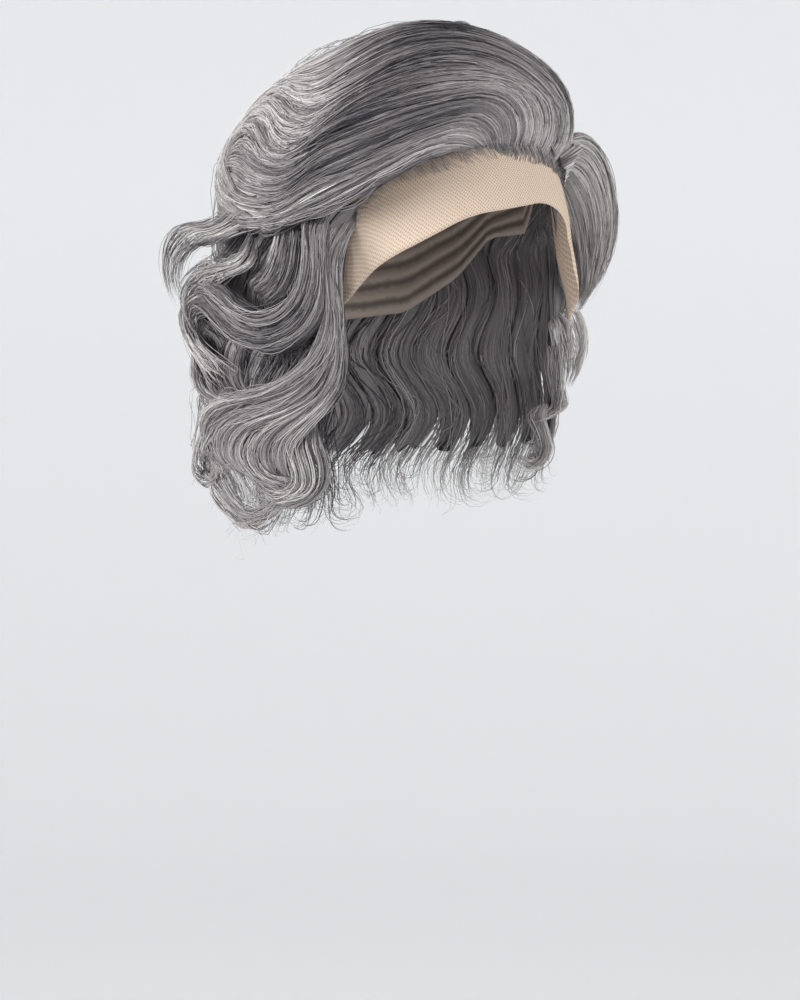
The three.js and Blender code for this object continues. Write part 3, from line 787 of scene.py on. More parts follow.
class Swath:
    """Hair between two neighbouring lines of a flow, domed across."""

    def __init__(self, name, lines, bulge):
        self.name = name
        self.lines = lines
        self.bulge = bulge
        share = np.linspace(0.0, 1.0, SWATH_STATIONS)
        near_tip = smooth((share - SWATH_TIP_START) / SWATH_TIP_RAMP)
        self.envelope = smooth(share / SWATH_ROOT_RAMP) * (1.0 - SWATH_TIP_SINK * near_tip)
        self.twist = SWATH_TWIST * share

    def place(self, across, depth):
        """Points at shares of the swath's width and of its thickness, for every station."""
        spread = np.broadcast_to(across, (len(across), SWATH_STATIONS))[..., None]
        path = self.lines[0] * (1.0 - spread) + self.lines[1] * spread
        out = head_under(path)[1]
        dome = np.clip(4.0 * across * (1.0 - across), 0.0, 1.0) ** DOME_POWER
        ripple = np.sin(2 * np.pi * (SWATH_RIPPLES * across + self.twist))
        dome = dome * (1.0 + SWATH_RIPPLE * ripple)
        height = self.bulge * dome - SWATH_DEPTH * (1.0 - depth)
        return path + out * (height * self.envelope)[..., None], out

    def from_root(self):
        return path_lengths((self.lines[0] + self.lines[1]) / 2)

    def strand_points(self):
        """Samples that a strand needs for the swath's length."""
        wanted = int(self.from_root()[-1] / SWATH_POINT_STEP) + SWATH_POINTS_SPARE
        return min(max(wanted, SWATH_POINTS_LEAST), SWATH_POINTS_MOST)


class PhotoView:
    """The photograph's camera: rays through places in its frame."""

    def __init__(self, stage):
        across = np.array([math.cos(stage.azimuth), math.sin(stage.azimuth), 0.0])
        self.side = np.array([math.sin(stage.azimuth), -math.cos(stage.azimuth), 0.0])
        self.eye = self.side * stage.distance + np.array([0.0, 0.0, stage.camera_height])
        self.aim = np.array([0.0, 0.0, stage.aim_height]) - across * stage.aim_left
        self.ahead = unit(self.aim - self.eye)
        self.right = unit(np.cross(self.ahead, [0.0, 0.0, 1.0]))
        self.up = np.cross(self.right, self.ahead)
        self.focal = stage.lens / SENSOR_WIDTH * PHOTO_HEIGHT

    def rays(self, places):
        across = (places[:, :1] - PHOTO_WIDTH / 2) / self.focal
        down = (places[:, 1:] - PHOTO_HEIGHT / 2) / self.focal
        return self.ahead + across * self.right - down * self.up

    def on_form(self, places, level):
        """Where rays first meet the hair form at a share of its height, or pass nearest to it."""
        rays = self.rays(places)
        reach = np.linalg.norm(self.eye[:2]) + np.linspace(-RAY_REACH, RAY_REACH, RAY_STEPS)
        points = self.eye + rays[:, None] * reach[:, None]
        base, out, drop = head_under(points)
        facing = smooth((-out[..., 1] - FACE_FACING) / FACE_FACING_RAMP)
        tuck = FACE_TUCK * facing * smooth((drop - FACE_DROP) / FACE_DROP_RAMP)
        over = height_over(points, base, out) / hair_lift(drop, out) - level[:, None] * (1.0 - tuck)
        met = over < 0.0
        step = np.where(met.any(axis=1), met.argmax(axis=1), over.argmin(axis=1))
        depth = softened(reach[step], RAY_SMOOTHING)
        return self.eye + rays * depth[:, None]

    def on_planes(self, places, angle):
        """Where rays cross upright planes through the inner form's axis."""
        rays = self.rays(places)
        turn = np.radians(angle)
        normal = np.stack([np.cos(turn), np.sin(turn), np.zeros(len(turn))], axis=-1)
        return self.eye - rays * ((normal @ self.eye) / (rays * normal).sum(-1))[:, None]


def carried_on(path, length, away):
    """Path carried on over the hair form, past the photograph's contour, and sunk in."""
    point = path[-1]
    base, out, drop = head_under(point)
    first = height_over(point, base, out) / hair_lift(drop, out)
    heading = unit(unit(point - path[-CARRY_LOOKBACK]) + away)
    added = []
    for step in range(1, CARRY_STEPS + 1):
        out = head_under(point)[1]
        heading = unit(heading - out * (heading @ out))
        base, out, drop = head_under(point + heading * length / CARRY_STEPS)
        share = first + (CARRY_LEVEL - first) * smooth(step / CARRY_STEPS)
        point = base + out * hair_lift(drop, out) * share
        added.append(point)
    return np.vstack([path, added])


def flow_swaths(flow, view):
    """Swaths between the lines of one flow."""
    laid = []
    for number, line in enumerate(flow["lines"]):
        flat = even_path([(x, y, 0.0) for x, y in line], SWATH_STATIONS)[:, :2]
        share = np.linspace(0.0, 1.0, SWATH_STATIONS)
        if "angles" in flow:
            first, last = flow["angles"][number]
            path = view.on_planes(flat, first + share * (last - first))
        else:
            level = flow["root"] + (flow["level"] - flow["root"]) * smooth(share / LEVEL_RAMP)
            near_tip = smooth((share - TIP_LEVEL_START) / TIP_LEVEL_RAMP)
            level = level + (flow.get("tip", flow["level"]) - flow["level"]) * near_tip
            path = view.on_form(flat, level)
        if "carry" in flow:
            path = carried_on(path, flow["carry"], -view.side)
        laid.append(even_path(path, SWATH_STATIONS))
    pairs = enumerate(zip(laid, laid[1:]), start=1)
    return [Swath(f"{flow['name']}_{number}", pair, flow["bulge"]) for number, pair in pairs]


# Meshes


def add_piece(name, mesh, material):
    """Object of a finished mesh, riding on the wig's one body."""
    piece = bpy.data.objects.new(name, mesh)
    bpy.context.scene.collection.objects.link(piece)
    mesh.materials.append(material)
    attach(piece, "root")
    return piece


def between_stations(path, wanted):
    """Points of paths at stations that may lie between two samples."""
    low = np.minimum(wanted.astype(int), path.shape[1] - 2)
    share = (wanted - low)[..., None]
    row = np.arange(len(path)).reshape((-1,) + (1,) * (wanted.ndim - 1))
    return path[row, low] * (1.0 - share) + path[row, low + 1] * share


def bent_path(path, count):
    """Samples of paths, closer together where they bend."""
    steps = np.diff(path, axis=1)
    lengths = np.linalg.norm(steps, axis=-1)
    heading = unit(steps)
    bend = np.arccos(np.clip((heading[:, 1:] * heading[:, :-1]).sum(-1), -1.0, 1.0))
    weight = lengths.copy()
    weight[:, 1:] += BEND_WEIGHT * bend
    total = np.concatenate([np.zeros((len(path), 1)), np.cumsum(weight, axis=1)], axis=1)
    result = np.empty((len(path), count, 3))
    for strand, (along, points) in enumerate(zip(total, path)):
        wanted = np.linspace(0.0, along[-1], count)
        for axis in range(3):
            result[strand, :, axis] = np.interp(wanted, along, points[:, axis])
    return result


def strand_mesh(name, path, width, thickness, tone):
    """Closed three-cornered wisps along paths, tapered to the tip, each with its tone."""
    count, points = path.shape[:2]
    along = unit(np.gradient(path, axis=1))
    out = head_under(path)[1]
    wide = unit(np.cross(along, out))
    high = np.cross(wide, along)
    share = np.linspace(0.0, 1.0, points)
    taper = np.minimum(1.0, ROOT_WIDTH + ROOT_WIDENING * share)
    taper = taper * (1.0 - TIP_TAPER * smooth((share - TIP_TAPER_START) / TIP_TAPER_RAMP))
    angles = np.pi / 2 + 2 * np.pi * np.arange(STRAND_CORNERS) / STRAND_CORNERS
    half_width = (np.reshape(width, (-1, 1)) / 2 * taper)[..., None]
    half_height = (np.reshape(thickness, (-1, 1)) / 2 * taper)[..., None]
    rings = np.stack([
        path + wide * half_width * np.cos(a) + high * half_height * np.sin(a) for a in angles
    ], axis=2)
    index = np.arange(count * points * STRAND_CORNERS).reshape(count, points, STRAND_CORNERS)
    ahead = np.roll(index, -1, axis=2)
    sides = np.stack([ahead[:, :-1], index[:, :-1], index[:, 1:], ahead[:, 1:]], axis=-1)
    ends = np.concatenate([index[:, 0], index[:, -1, ::-1]])
    corners = np.concatenate([sides.ravel(), ends.ravel()])
    quads = sides.size // 4
    starts = np.concatenate([np.arange(quads) * 4, quads * 4 + np.arange(len(ends)) * 3])
    mesh = bpy.data.meshes.new(name)
    mesh.vertices.add(rings.size // 3)
    mesh.vertices.foreach_set("co", rings.ravel())
    mesh.loops.add(len(corners))
    mesh.loops.foreach_set("vertex_index", corners)
    mesh.polygons.add(len(starts))
    mesh.polygons.foreach_set("loop_start", starts)
    mesh.update(calc_edges=True)
    mesh.shade_smooth()
    side = np.arange(STRAND_CORNERS)
    column = np.stack([side + 1, side, side, side + 1], axis=-1) / STRAND_CORNERS
    column = UV_MARGIN + (1.0 - 2 * UV_MARGIN) * column
    column = (np.arange(count)[:, None, None, None] + column) / count
    column = np.broadcast_to(column, sides.shape)
    row = np.stack([share[:-1], share[:-1], share[1:], share[1:]], axis=-1)[None, :, None, :]
    row = np.broadcast_to(row, sides.shape)
    end_column = np.repeat((np.tile(np.arange(count), 2) + 0.5) / count, STRAND_CORNERS)
    end_row = np.repeat([0.0, 1.0], count * STRAND_CORNERS)
    places = np.stack([
        np.concatenate([column.ravel(), end_column]),
        np.concatenate([row.ravel(), end_row]),
    ], axis=-1)
    mesh.uv_layers.new(name=BAKE_MAP).uv.foreach_set("vector", places.astype(np.float32).ravel())
    tones = np.repeat(np.broadcast_to(tone, (count, points)).ravel(), STRAND_CORNERS)
    mesh.attributes.new(TONE_AND_PAINTED_SHADE, "FLOAT", "POINT").data.foreach_set("value", tones.astype(np.float32))
    return mesh


def grid_mesh(name, columns, rows, place, closed=False):
    """Grid shaped by a function of its two shares, joined where its edges meet."""
    shape = bmesh.new()
    bmesh.ops.create_grid(shape, x_segments=columns, y_segments=rows, size=0.5, calc_uvs=True)
    layer = shape.loops.layers.uv.verify()
    layer_name = layer.name
    shares = np.array([(v.co.x + 0.5, v.co.y + 0.5) for v in shape.verts])
    for face in shape.faces:
        for loop in face.loops:
            loop[layer].uv = (loop.vert.co.x + 0.5, loop.vert.co.y + 0.5)
    for vert, spot in zip(shape.verts, place(shares[:, 0], shares[:, 1])):
        vert.co = spot
    if closed:
        bmesh.ops.remove_doubles(shape, verts=shape.verts, dist=MERGE_DISTANCE)
        bmesh.ops.holes_fill(shape, edges=shape.edges, sides=0)
        bmesh.ops.recalc_face_normals(shape, faces=shape.faces)
    mesh = bpy.data.meshes.new(name)
    shape.to_mesh(mesh)
    shape.free()
    mesh.uv_layers[layer_name].name = BAKE_MAP
    mesh.shade_smooth()
    return mesh


# Materials


def add_node(tree, kind, settings=None, inputs=None):
    """Node with its settings, and its inputs set to values or linked from sockets."""
    node = tree.nodes.new(kind)
    for key, value in (settings or {}).items():
        setattr(node, key, value)
    for key, value in (inputs or {}).items():
        if isinstance(value, bpy.types.NodeSocket):
            tree.links.new(value, node.inputs[key])
        else:
            node.inputs[key].default_value = value
    return node


def new_material(name):
    material = bpy.data.materials.new(name)
    material.use_nodes = True
    material.node_tree.nodes.clear()
    return material, material.node_tree


def finish_material(tree, inputs):
    shader = add_node(tree, "ShaderNodeBsdfPrincipled", inputs=inputs)
    add_node(tree, "ShaderNodeOutputMaterial", inputs={"Surface": shader.outputs["BSDF"]})


def set_ramp(ramp, stops):
    elements = ramp.color_ramp.elements
    while len(elements) < len(stops):
        elements.new(0.5)
    for element, (position, colour) in zip(elements, stops):
        element.position = position
        element.color = opaque(colour)


def hair_fibre_material(colours):
    """Heat-set synthetic hair fibre: fine satin strands, dark and white ones mixed to grey, with painted
    shade and painted light in each strand's tone.
    """
    material, tree = new_material("grey_hair_fibre")
    tone = add_node(tree, "ShaderNodeAttribute", {"attribute_name": TONE_AND_PAINTED_SHADE})
    ramp = add_node(tree, "ShaderNodeValToRGB", inputs={"Fac": tone.outputs["Fac"]})
    set_ramp(ramp, ((0.0, colours.hair_dark), (0.55, colours.hair_mid), (1.0, colours.hair_light)))
    finish_material(tree, {
        "Base Color": ramp.outputs["Color"],
        "Roughness": 0.6,
        "IOR": 1.55,
        "Specular IOR Level": 0.35,
    })
    return material


def painted_shade_core_material(colours):
    """The same fibre packed deep inside a lock, darkened with painted shade for the little light that
    reaches it: dark fine streaks.
    """
    material, tree = new_material("packed_hair_painted_shade")
    place = add_node(tree, "ShaderNodeUVMap", {"uv_map": BAKE_MAP})
    stretch = add_node(tree, "ShaderNodeMapping", inputs={
        "Vector": place.outputs["UV"], "Scale": (90.0, 5.0, 1.0)})
    streak = add_node(tree, "ShaderNodeTexNoise", inputs={
        "Vector": stretch.outputs["Vector"], "Scale": 1.0, "Detail": 4.0})
    ramp = add_node(tree, "ShaderNodeValToRGB", inputs={"Fac": streak.outputs["Fac"]})
    # Painted shade: the packed fibre runs only from the dark grey to the middle grey
    set_ramp(ramp, ((0.25, colours.hair_dark), (0.7, colours.hair_mid)))
    bump = add_node(tree, "ShaderNodeBump", inputs={
        "Strength": 0.6, "Distance": 0.002, "Height": streak.outputs["Fac"]})
    finish_material(tree, {
        "Base Color": ramp.outputs["Color"],
        "Roughness": 0.6,
        "IOR": 1.55,
        "Normal": bump.outputs["Normal"],
    })
    return material


def lace_material(colours, mesh_size, width, height):
    """Knitted polyamide tulle: a diamond net of fine matt threads with open holes. The real net
    is under 1 mm across, so it is drawn coarser to show."""
    material, tree = new_material("tulle_lace")
    place = add_node(tree, "ShaderNodeUVMap", {"uv_map": BAKE_MAP})
    scale = add_node(tree, "ShaderNodeMapping", inputs={
        "Vector": place.outputs["UV"],
        "Scale": (width / mesh_size, height / mesh_size, 1.0),
        "Rotation": (0.0, 0.0, math.radians(45)),
    })
    cells = add_node(tree, "ShaderNodeTexVoronoi", {"feature": "DISTANCE_TO_EDGE"}, {
        "Vector": scale.outputs["Vector"], "Scale": 1.0, "Randomness": 0.25})
    thread = add_node(tree, "ShaderNodeMapRange", {"interpolation_type": "SMOOTHSTEP"}, {
        "Value": cells.outputs["Distance"],
        "From Min": 0.05, "From Max": 0.25, "To Min": 0.85, "To Max": 0.45})
    finish_material(tree, {
        "Base Color": opaque(colours.lace),
        "Roughness": 0.75,
        "IOR": 1.5,
        "Alpha": thread.outputs["Result"],
    })
    return material


def cap_material(colours, weft_spacing, depth):
    """Stretch net with machine-sewn rows of wefts: matt ribs on a fine grey-brown mesh."""
    material, tree = new_material("weft_cap_net")
    place = add_node(tree, "ShaderNodeUVMap", {"uv_map": BAKE_MAP})
    rows = add_node(tree, "ShaderNodeMapping", inputs={
        "Vector": place.outputs["UV"], "Scale": (140.0, depth / weft_spacing, 1.0)})
    wave = add_node(tree, "ShaderNodeTexWave", {"bands_direction": "Y", "wave_profile": "SIN"}, {
        "Vector": rows.outputs["Vector"], "Scale": 0.314, "Distortion": 0.6, "Detail": 2.0})
    streak = add_node(tree, "ShaderNodeTexNoise", inputs={
        "Vector": rows.outputs["Vector"], "Scale": 1.0, "Detail": 3.0})
    mixed = add_node(tree, "ShaderNodeMath", {"operation": "MULTIPLY"}, {
        0: wave.outputs["Fac"], 1: streak.outputs["Fac"]})
    ramp = add_node(tree, "ShaderNodeValToRGB", inputs={"Fac": mixed.outputs["Value"]})
    set_ramp(ramp, ((0.0, colours.cap_seam), (0.3, colours.cap)))
    bump = add_node(tree, "ShaderNodeBump", inputs={
        "Strength": 0.7, "Distance": 0.0015, "Height": wave.outputs["Fac"]})
    finish_material(tree, {
        "Base Color": ramp.outputs["Color"],
        "Roughness": 0.85,
        "IOR": 1.5,
        "Normal": bump.outputs["Normal"],
    })
    return material


def backdrop_material(colours):
    """Seamless matt studio paper, lit from behind: even and pale."""
    material, tree = new_material("studio_paper")
    finish_material(tree, {
        "Base Color": opaque(colours.backdrop),
        "Roughness": 0.9,
        "Emission Color": opaque(colours.backdrop),
        "Emission Strength": 0.185,
    })
    return material


def kept_material(name, make):
    """A material made once and shared by like pieces."""
    return bpy.data.materials.get(name) or make()


# Hair


def comb(lock, rng, count, sway, gather_share, under_share):
    """Strand paths of a lock or swath: even at the roots, gathered into wisps as they run."""
    travel = lock.from_root()
    gather = smooth(travel / (gather_share * travel[-1]))
    wisps = max(count // WISP_STRANDS, WISPS_LEAST)
    centre = (np.arange(wisps) + rng.uniform(*WISP_CENTRES, wisps)) / wisps
    start = np.sort(rng.uniform(0.0, 1.0, count))
    wisp = np.minimum((start * wisps).astype(int), wisps - 1)
    gathered = centre[wisp] + rng.normal(0.0, WISP_SPREAD / wisps, count)
    across = start[:, None] * (1.0 - gather) + gathered[:, None] * gather
    across = across + rng.normal(0.0, WANDER, count)[:, None] * (travel / travel[-1])
    across = np.clip(across, 0.0, 1.0)
    layer = rng.random(count)
    outer = rng.uniform(*OUTER_DEPTHS, count)
    depth = np.where(layer < OUTER_SHARE, outer, rng.uniform(*INNER_DEPTHS, count))
    depth = np.where(layer > 1.0 - under_share, rng.uniform(LEAST_DEPTH, UNDER_DEPTH, count), depth)
    depth = depth + rng.normal(0.0, WISP_DEPTH, wisps)[wisp]
    phase = rng.uniform(0.0, 2 * np.pi, count)[:, None]
    weave = WEAVE * np.sin(2 * np.pi * travel / WEAVE_LENGTH + phase)
    path, out = lock.place(across, np.maximum(depth[:, None] + weave, LEAST_DEPTH))
    side = unit(np.cross(unit(np.gradient(path, axis=1)), out))
    loose = smooth((travel - LOOSE_START) / LOOSE_RAMP)
    phase = rng.uniform(0.0, 2 * np.pi, wisps)[wisp] + rng.normal(0.0, PHASE_SPREAD, count)
    length = rng.uniform(*DRIFT_LENGTHS, wisps)[wisp][:, None]
    size = sway * rng.exponential(DRIFT_SPREAD, count)
    drift = size[:, None] * np.sin(2 * np.pi * travel / length + phase[:, None])
    size = rng.normal(0.0, FRIZZ, count)[:, None]
    turn = 2 * np.pi * travel / rng.uniform(*FRIZZ_LENGTHS, count)[:, None]
    frizz = size * np.sin(turn + rng.uniform(0.0, FREE_PHASE, count)[:, None])
    return path + side * ((drift + frizz) * loose)[..., None], wisp, depth


def cut_lengths(path, rng, shortest, latest=0.0):
    """Paths cut back to layered lengths at the tip and at the root, with the same samples."""
    count, stations = path.shape[:2]
    ends = rng.uniform(shortest, 1.0, count)[:, None]
    starts = rng.uniform(0.0, latest, count)[:, None]
    wanted = (starts + (ends - starts) * np.linspace(0.0, 1.0, stations)) * (stations - 1)
    return between_stations(path, wanted)


def curl_tips(path, rng, wisp):
    """Tips of the strands wound into open curls, alike within a wisp."""
    wisps = wisp.max() + 1
    heading = unit(path[:, -1] - path[:, -CURL_LOOKBACK])
    out = head_under(path[:, -1])[1]
    side = unit(np.cross(heading, out))
    lean = rng.uniform(0.0, 2 * np.pi, wisps)[wisp][:, None]
    towards = unit(side * np.cos(lean) + out * np.sin(lean) * CURL_FLATNESS)
    towards = unit(towards - heading * (towards * heading).sum(-1, keepdims=True))
    size = CURL_RADIUS * rng.uniform(*CURL_SIZES, wisps)[wisp] * rng.uniform(*CURL_SIZE_SPREAD, len(path))
    turn = CURL_TURN * rng.uniform(*CURL_TURNS, wisps)[wisp] * rng.uniform(*CURL_TURN_SPREAD, len(path))
    angle = turn[:, None] * np.linspace(0.0, 1.0, CURL_POINTS + 1)[1:]
    arc = size[:, None, None] * (
        np.sin(angle)[..., None] * heading[:, None] + (1.0 - np.cos(angle))[..., None] * towards[:, None])
    return np.concatenate([path, path[:, -1:] + arc], axis=1)


def strand_tones(rng, wisp, points, ends):
    """Grey of each strand, near its wisp's own, shifted from root to tip."""
    wisp_tone = rng.normal(TONE_MIDDLE, TONE_WISP_SPREAD, wisp.max() + 1)[wisp]
    own = rng.normal(0.0, TONE_SPREAD, len(wisp))
    shift = np.interp(np.linspace(0.0, 1.0, points), np.linspace(0.0, 1.0, len(ends)), ends)
    return np.clip((wisp_tone + own)[:, None] + shift, 0.0, 1.0)


def build_core(lock, material, first, last, spill):
    """Packed core of a lock or swath, set in under its strands, thin and fringed at its end."""
    stations = len(lock.from_root())

    def place(around, along):
        around = np.where(around > CORE_SEAM, 0.0, around)
        outer = around < CORE_OUTER
        across = np.where(outer, around / CORE_OUTER, 1.0 - (around - CORE_OUTER) / (1.0 - CORE_OUTER))
        depth = np.where(outer, CORE_TOP, CORE_BOTTOM)
        end = last - CORE_FRINGE * (0.5 + 0.5 * np.sin(4 * np.pi * across))
        narrow = 1.0 - CORE_NARROWING * smooth((along - CORE_NARROW_START) / CORE_NARROW_RAMP)
        across = (0.5 + (across - 0.5) * ((1.0 + 2.0 * spill) * narrow))[:, None]
        thin = CORE_THINNING * smooth((along - CORE_THIN_START) / CORE_THIN_RAMP)
        depth = 0.5 + (depth - 0.5) * (1.0 - thin)
        path = lock.place(across, depth[:, None] * np.ones(stations))[0]
        return between_stations(path, (first + along * (end - first)) * (stations - 1))

    mesh = grid_mesh(f"{lock.name}_core", CORE_COLUMNS, CORE_ROWS, place, closed=True)
    return add_piece(f"{lock.name}_core", mesh, material)


def build_strands(lock, combed, rng, width, tone, shade, material):
    """Strands of a lock or swath as one piece, the deep ones darkened with painted shade."""
    path, wisp, depth = combed
    widths = width * rng.uniform(*STRAND_WIDTHS, len(path))
    tones = strand_tones(rng, wisp, path.shape[1], tone)
    # Painted shade on the deep strands, and the given shade taken off every tone
    tones = np.clip(tones - shade - DEEP_SHADE * np.clip(1.0 - depth, 0.0, 1.0)[:, None], 0.0, 1.0)
    mesh = strand_mesh(f"{lock.name}_strands", path, widths, STRAND_FLATNESS * widths, tones)
    return add_piece(f"{lock.name}_strands", mesh, material)


def lock_list(view):
    lines = [parting_line(row) for row in PARTINGS]
    return [Lock(index, lines, view.side) for index in range(len(PARTINGS) - 1)]


class WIG_OT_locks(bpy.types.Operator):
    """Build the locks: a packed core and a coat of strands for each"""
    bl_idname = "wig.build_locks"
    bl_label = "Build Locks"

    def execute(self, context):
        sizes, colours = context.scene.wig_sizes, context.scene.wig_colours
        fibre = kept_material("grey_hair_fibre", lambda: hair_fibre_material(colours))
        packed = kept_material("packed_hair_painted_shade", lambda: painted_shade_core_material(colours))
        for number, lock in enumerate(lock_list(PhotoView(context.scene.wig_stage))):
            rng = np.random.default_rng(number)
            grooved = GROOVE_SHARE == lock.edge_right == lock.edge_left
            spill = CORE_SPILL if grooved else -2.0 * CORE_SPILL
            first = PART_CORE_START if PART_LOCK <= number < TEMPLE_LOCK else CORE_START
            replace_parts(build_core(lock, packed, first, CORE_END, spill), lock.name)
            count = int(sizes.lock_strands * (1.0 - COVERED_THINNING * lock.cover))
            path, wisp, depth = comb(lock, rng, count, LOCK_SWAY, LOCK_GATHER, LOCK_UNDER_SHARE)
            trim = np.searchsorted(lock.from_root(), ROOT_TRIM + COVERED_TRIM * lock.root_cover)
            path = cut_lengths(path[:, trim:], rng, LOCK_SHORTEST)
            path = bent_path(curl_tips(path, rng, wisp), LOCK_STRAND_POINTS)
            out = head_under(path)[1]
            share = np.linspace(0.0, 1.0, LOCK_STRAND_POINTS)
            free_tip = smooth((share - FREE_TIP_START) / FREE_TIP_RAMP)
            # Painted shade where swaths cover the lock, none at the free tips
            shade = COVERED_SHADE * lock.covered(out) * (1.0 - free_tip)
            # Painted light on the wig's left side, which the lamps leave in shade
            shade = shade - LEFT_LIGHT * smooth((out[..., 0] - LEFT_LIGHT_START) / LEFT_LIGHT_RAMP)
            # Painted light on the roots past the part, which lie in shade between swaths
            if number >= PART_LOCK:
                shade = shade - PART_LIGHT * (1.0 - smooth(PART_LIGHT_RATE * share))
            build_strands(lock, (path, wisp, depth), rng, sizes.strand_width, LOCK_TONE, shade, fibre)
        return {"FINISHED"}


class WIG_OT_swaths(bpy.types.Operator):
    """Build the swaths and curls that lie over the locks"""
    bl_idname = "wig.build_swaths"
    bl_label = "Build Swaths"

    def execute(self, context):
        sizes, colours = context.scene.wig_sizes, context.scene.wig_colours
        fibre = kept_material("grey_hair_fibre", lambda: hair_fibre_material(colours))
        packed = kept_material("packed_hair_painted_shade", lambda: painted_shade_core_material(colours))
        view = PhotoView(context.scene.wig_stage)
        for number, flow in enumerate(FLOWS):
            rng = np.random.default_rng(SWATH_SEED + number)
            swaths = flow_swaths(flow, view)
            for swath, shade in zip(swaths, flow.get("shades", [0.0] * len(swaths))):
                style = LOOSE_SWATH
                if flow.get("core", True):
                    style = SOLID_SWATH
                    build_core(swath, packed, SWATH_CORE_START, SWATH_CORE_END, flow.get("spill", 0.0))
                path, wisp, depth = comb(swath, rng, flow["strands"], style["sway"], SWATH_GATHER, 0.0)
                path = cut_lengths(path, rng, style["shortest"], style["latest"])
                combed = (bent_path(path, swath.strand_points()), wisp, depth)
                width = SWATH_WIDTH_SHARE * sizes.strand_width
                strands = build_strands(swath, combed, rng, width, flow["tone"], shade, fibre)
                if "node" in flow:
                    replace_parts(strands, flow["node"])
        return {"FINISHED"}


class WIG_OT_hairline(bpy.types.Operator):
    """Build the fine hairs along the hairline and the fly-away hairs"""
    bl_idname = "wig.build_hairline"
    bl_label = "Build Hairline"

    def execute(self, context):
        sizes, colours = context.scene.wig_sizes, context.scene.wig_colours
        fibre = kept_material("grey_hair_fibre", lambda: hair_fibre_material(colours))
        rng = np.random.default_rng(HAIRLINE_SEED)
        fine, stray = [], []
        view = PhotoView(context.scene.wig_stage)
        for number, lock in enumerate(lock_list(view)):
            if number >= TEMPLE_LOCK:
                fine.append(comb_fine_hairs(lock, rng, LOCK_FINE_HAIRS))
            stray.append(comb_stray_hairs(lock, rng, LOCK_STRAYS, LOCK_STRAY_LIFT))
        for flow in FLOWS:
            for swath in flow_swaths(flow, view):
                if flow.get("root", 1.0) <= HAIRLINE_LEVEL:
                    fine.append(comb_fine_hairs(swath, rng, SWATH_FINE_HAIRS))
                stray.append(comb_stray_hairs(swath, rng, SWATH_STRAYS, SWATH_STRAY_LIFT))
        fine.append(comb_fringe(rng, FRINGE_HAIRS))
        for name, paths in (("hairline_hairs", fine), ("stray_hairs", stray)):
            path = np.concatenate(paths)
            width = sizes.baby_hair_width * rng.uniform(*FINE_HAIR_WIDTHS, len(path))
            tones = strand_tones(rng, np.arange(len(path)), path.shape[1], FINE_HAIR_TONE)
            add_piece(name, strand_mesh(name, path, width, width, tones), fibre)
        return {"FINISHED"}


def comb_fine_hairs(lock, rng, count):
    """Short fine hairs that leave the lace just ahead of the roots of a lock or swath."""
    travel = lock.from_root()
    stations = len(travel)
    across = rng.uniform(0.0, 1.0, count)[:, None] * np.ones(stations)
    path = lock.place(across, rng.uniform(*FINE_HAIR_DEPTHS, count)[:, None] * np.ones(stations))[0]
    share = np.linspace(0.0, 1.0, FINE_HAIR_POINTS)
    along = (rng.uniform(*FINE_HAIR_LENGTHS, count) * FINE_HAIR_LENGTH)[:, None] * share
    hairs = between_stations(path, np.interp(along, travel, np.arange(stations)))
    reach = rng.uniform(-FINE_HAIR_BEHIND, FINE_HAIR_REACH, count)[:, None, None]
    ahead = unit(hairs[:, :1] - hairs[:, FINE_HAIR_POINTS // 2, None]) * reach
    near_root = 1.0 - smooth(np.linspace(0.0, FINE_HAIR_RISE_RATE, FINE_HAIR_POINTS))
    hairs = hairs + ahead * near_root[:, None]
    base, out, _ = head_under(hairs)
    height = height_over(hairs, base, out)
    return hairs - out * ((height - FINE_HAIR_HEIGHT) * near_root)[..., None]


def comb_fringe(rng, count):
    """Short fine hairs rooted in the lace all along the hairline, combed back under the swaths."""
    angles = np.linspace(-HAIRLINE_ANGLES[-1], HAIRLINE_ANGLES[-1], FRINGE_ANGLES)
    drops = np.interp(np.abs(angles), HAIRLINE_ANGLES, HAIRLINE_DROPS)
    line = even_path(head_point(angles, drops), count)
    along = unit(np.gradient(line, axis=0))
    back = unit(np.cross(head_under(line)[1], along))
    heading = unit(back - along * rng.normal(FRINGE_LEAN, FRINGE_LEAN_SPREAD, count)[:, None])
    share = np.linspace(0.0, 1.0, FINE_HAIR_POINTS)
    length = FRINGE_LENGTH * rng.uniform(*FRINGE_LENGTHS, count)[:, None] * share
    root = line + back * rng.uniform(*FRINGE_ROOTS, count)[:, None]
    base, out, _ = head_under(root[:, None] + heading[:, None] * length[..., None])
    return base + out * (FINE_HAIR_HEIGHT + FRINGE_RISE * share)[:, None]


def comb_stray_hairs(lock, rng, count, lift):
    """Single hairs that stand a little off the lock or swath."""
    stations = len(lock.from_root())
    across = rng.uniform(0.0, 1.0, count)[:, None] * np.ones(stations)
    rise = smooth(np.linspace(0.0, STRAY_LIFT_RATE, stations))
    path, out = lock.place(across, 1.0 + rng.uniform(*STRAY_LIFTS, count)[:, None] * lift * rise)
    side = unit(np.cross(unit(np.gradient(path, axis=1)), out))
    travel = lock.from_root()[None, :]
    size = rng.normal(0.0, STRAY_DRIFT, count)[:, None] * smooth(travel / STRAY_DRIFT_RAMP)
    turn = 2 * np.pi * travel / rng.uniform(*STRAY_DRIFT_LENGTHS, count)[:, None]
    drift = size * np.sin(turn + rng.uniform(0.0, FREE_PHASE, count)[:, None])
    path = softened((path + side * drift[..., None]).swapaxes(0, 1), STRAY_SMOOTHING).swapaxes(0, 1)
    return bent_path(cut_lengths(path, rng, STRAY_SHORTEST, STRAY_LATEST), STRAY_POINTS)


# Lace and cap


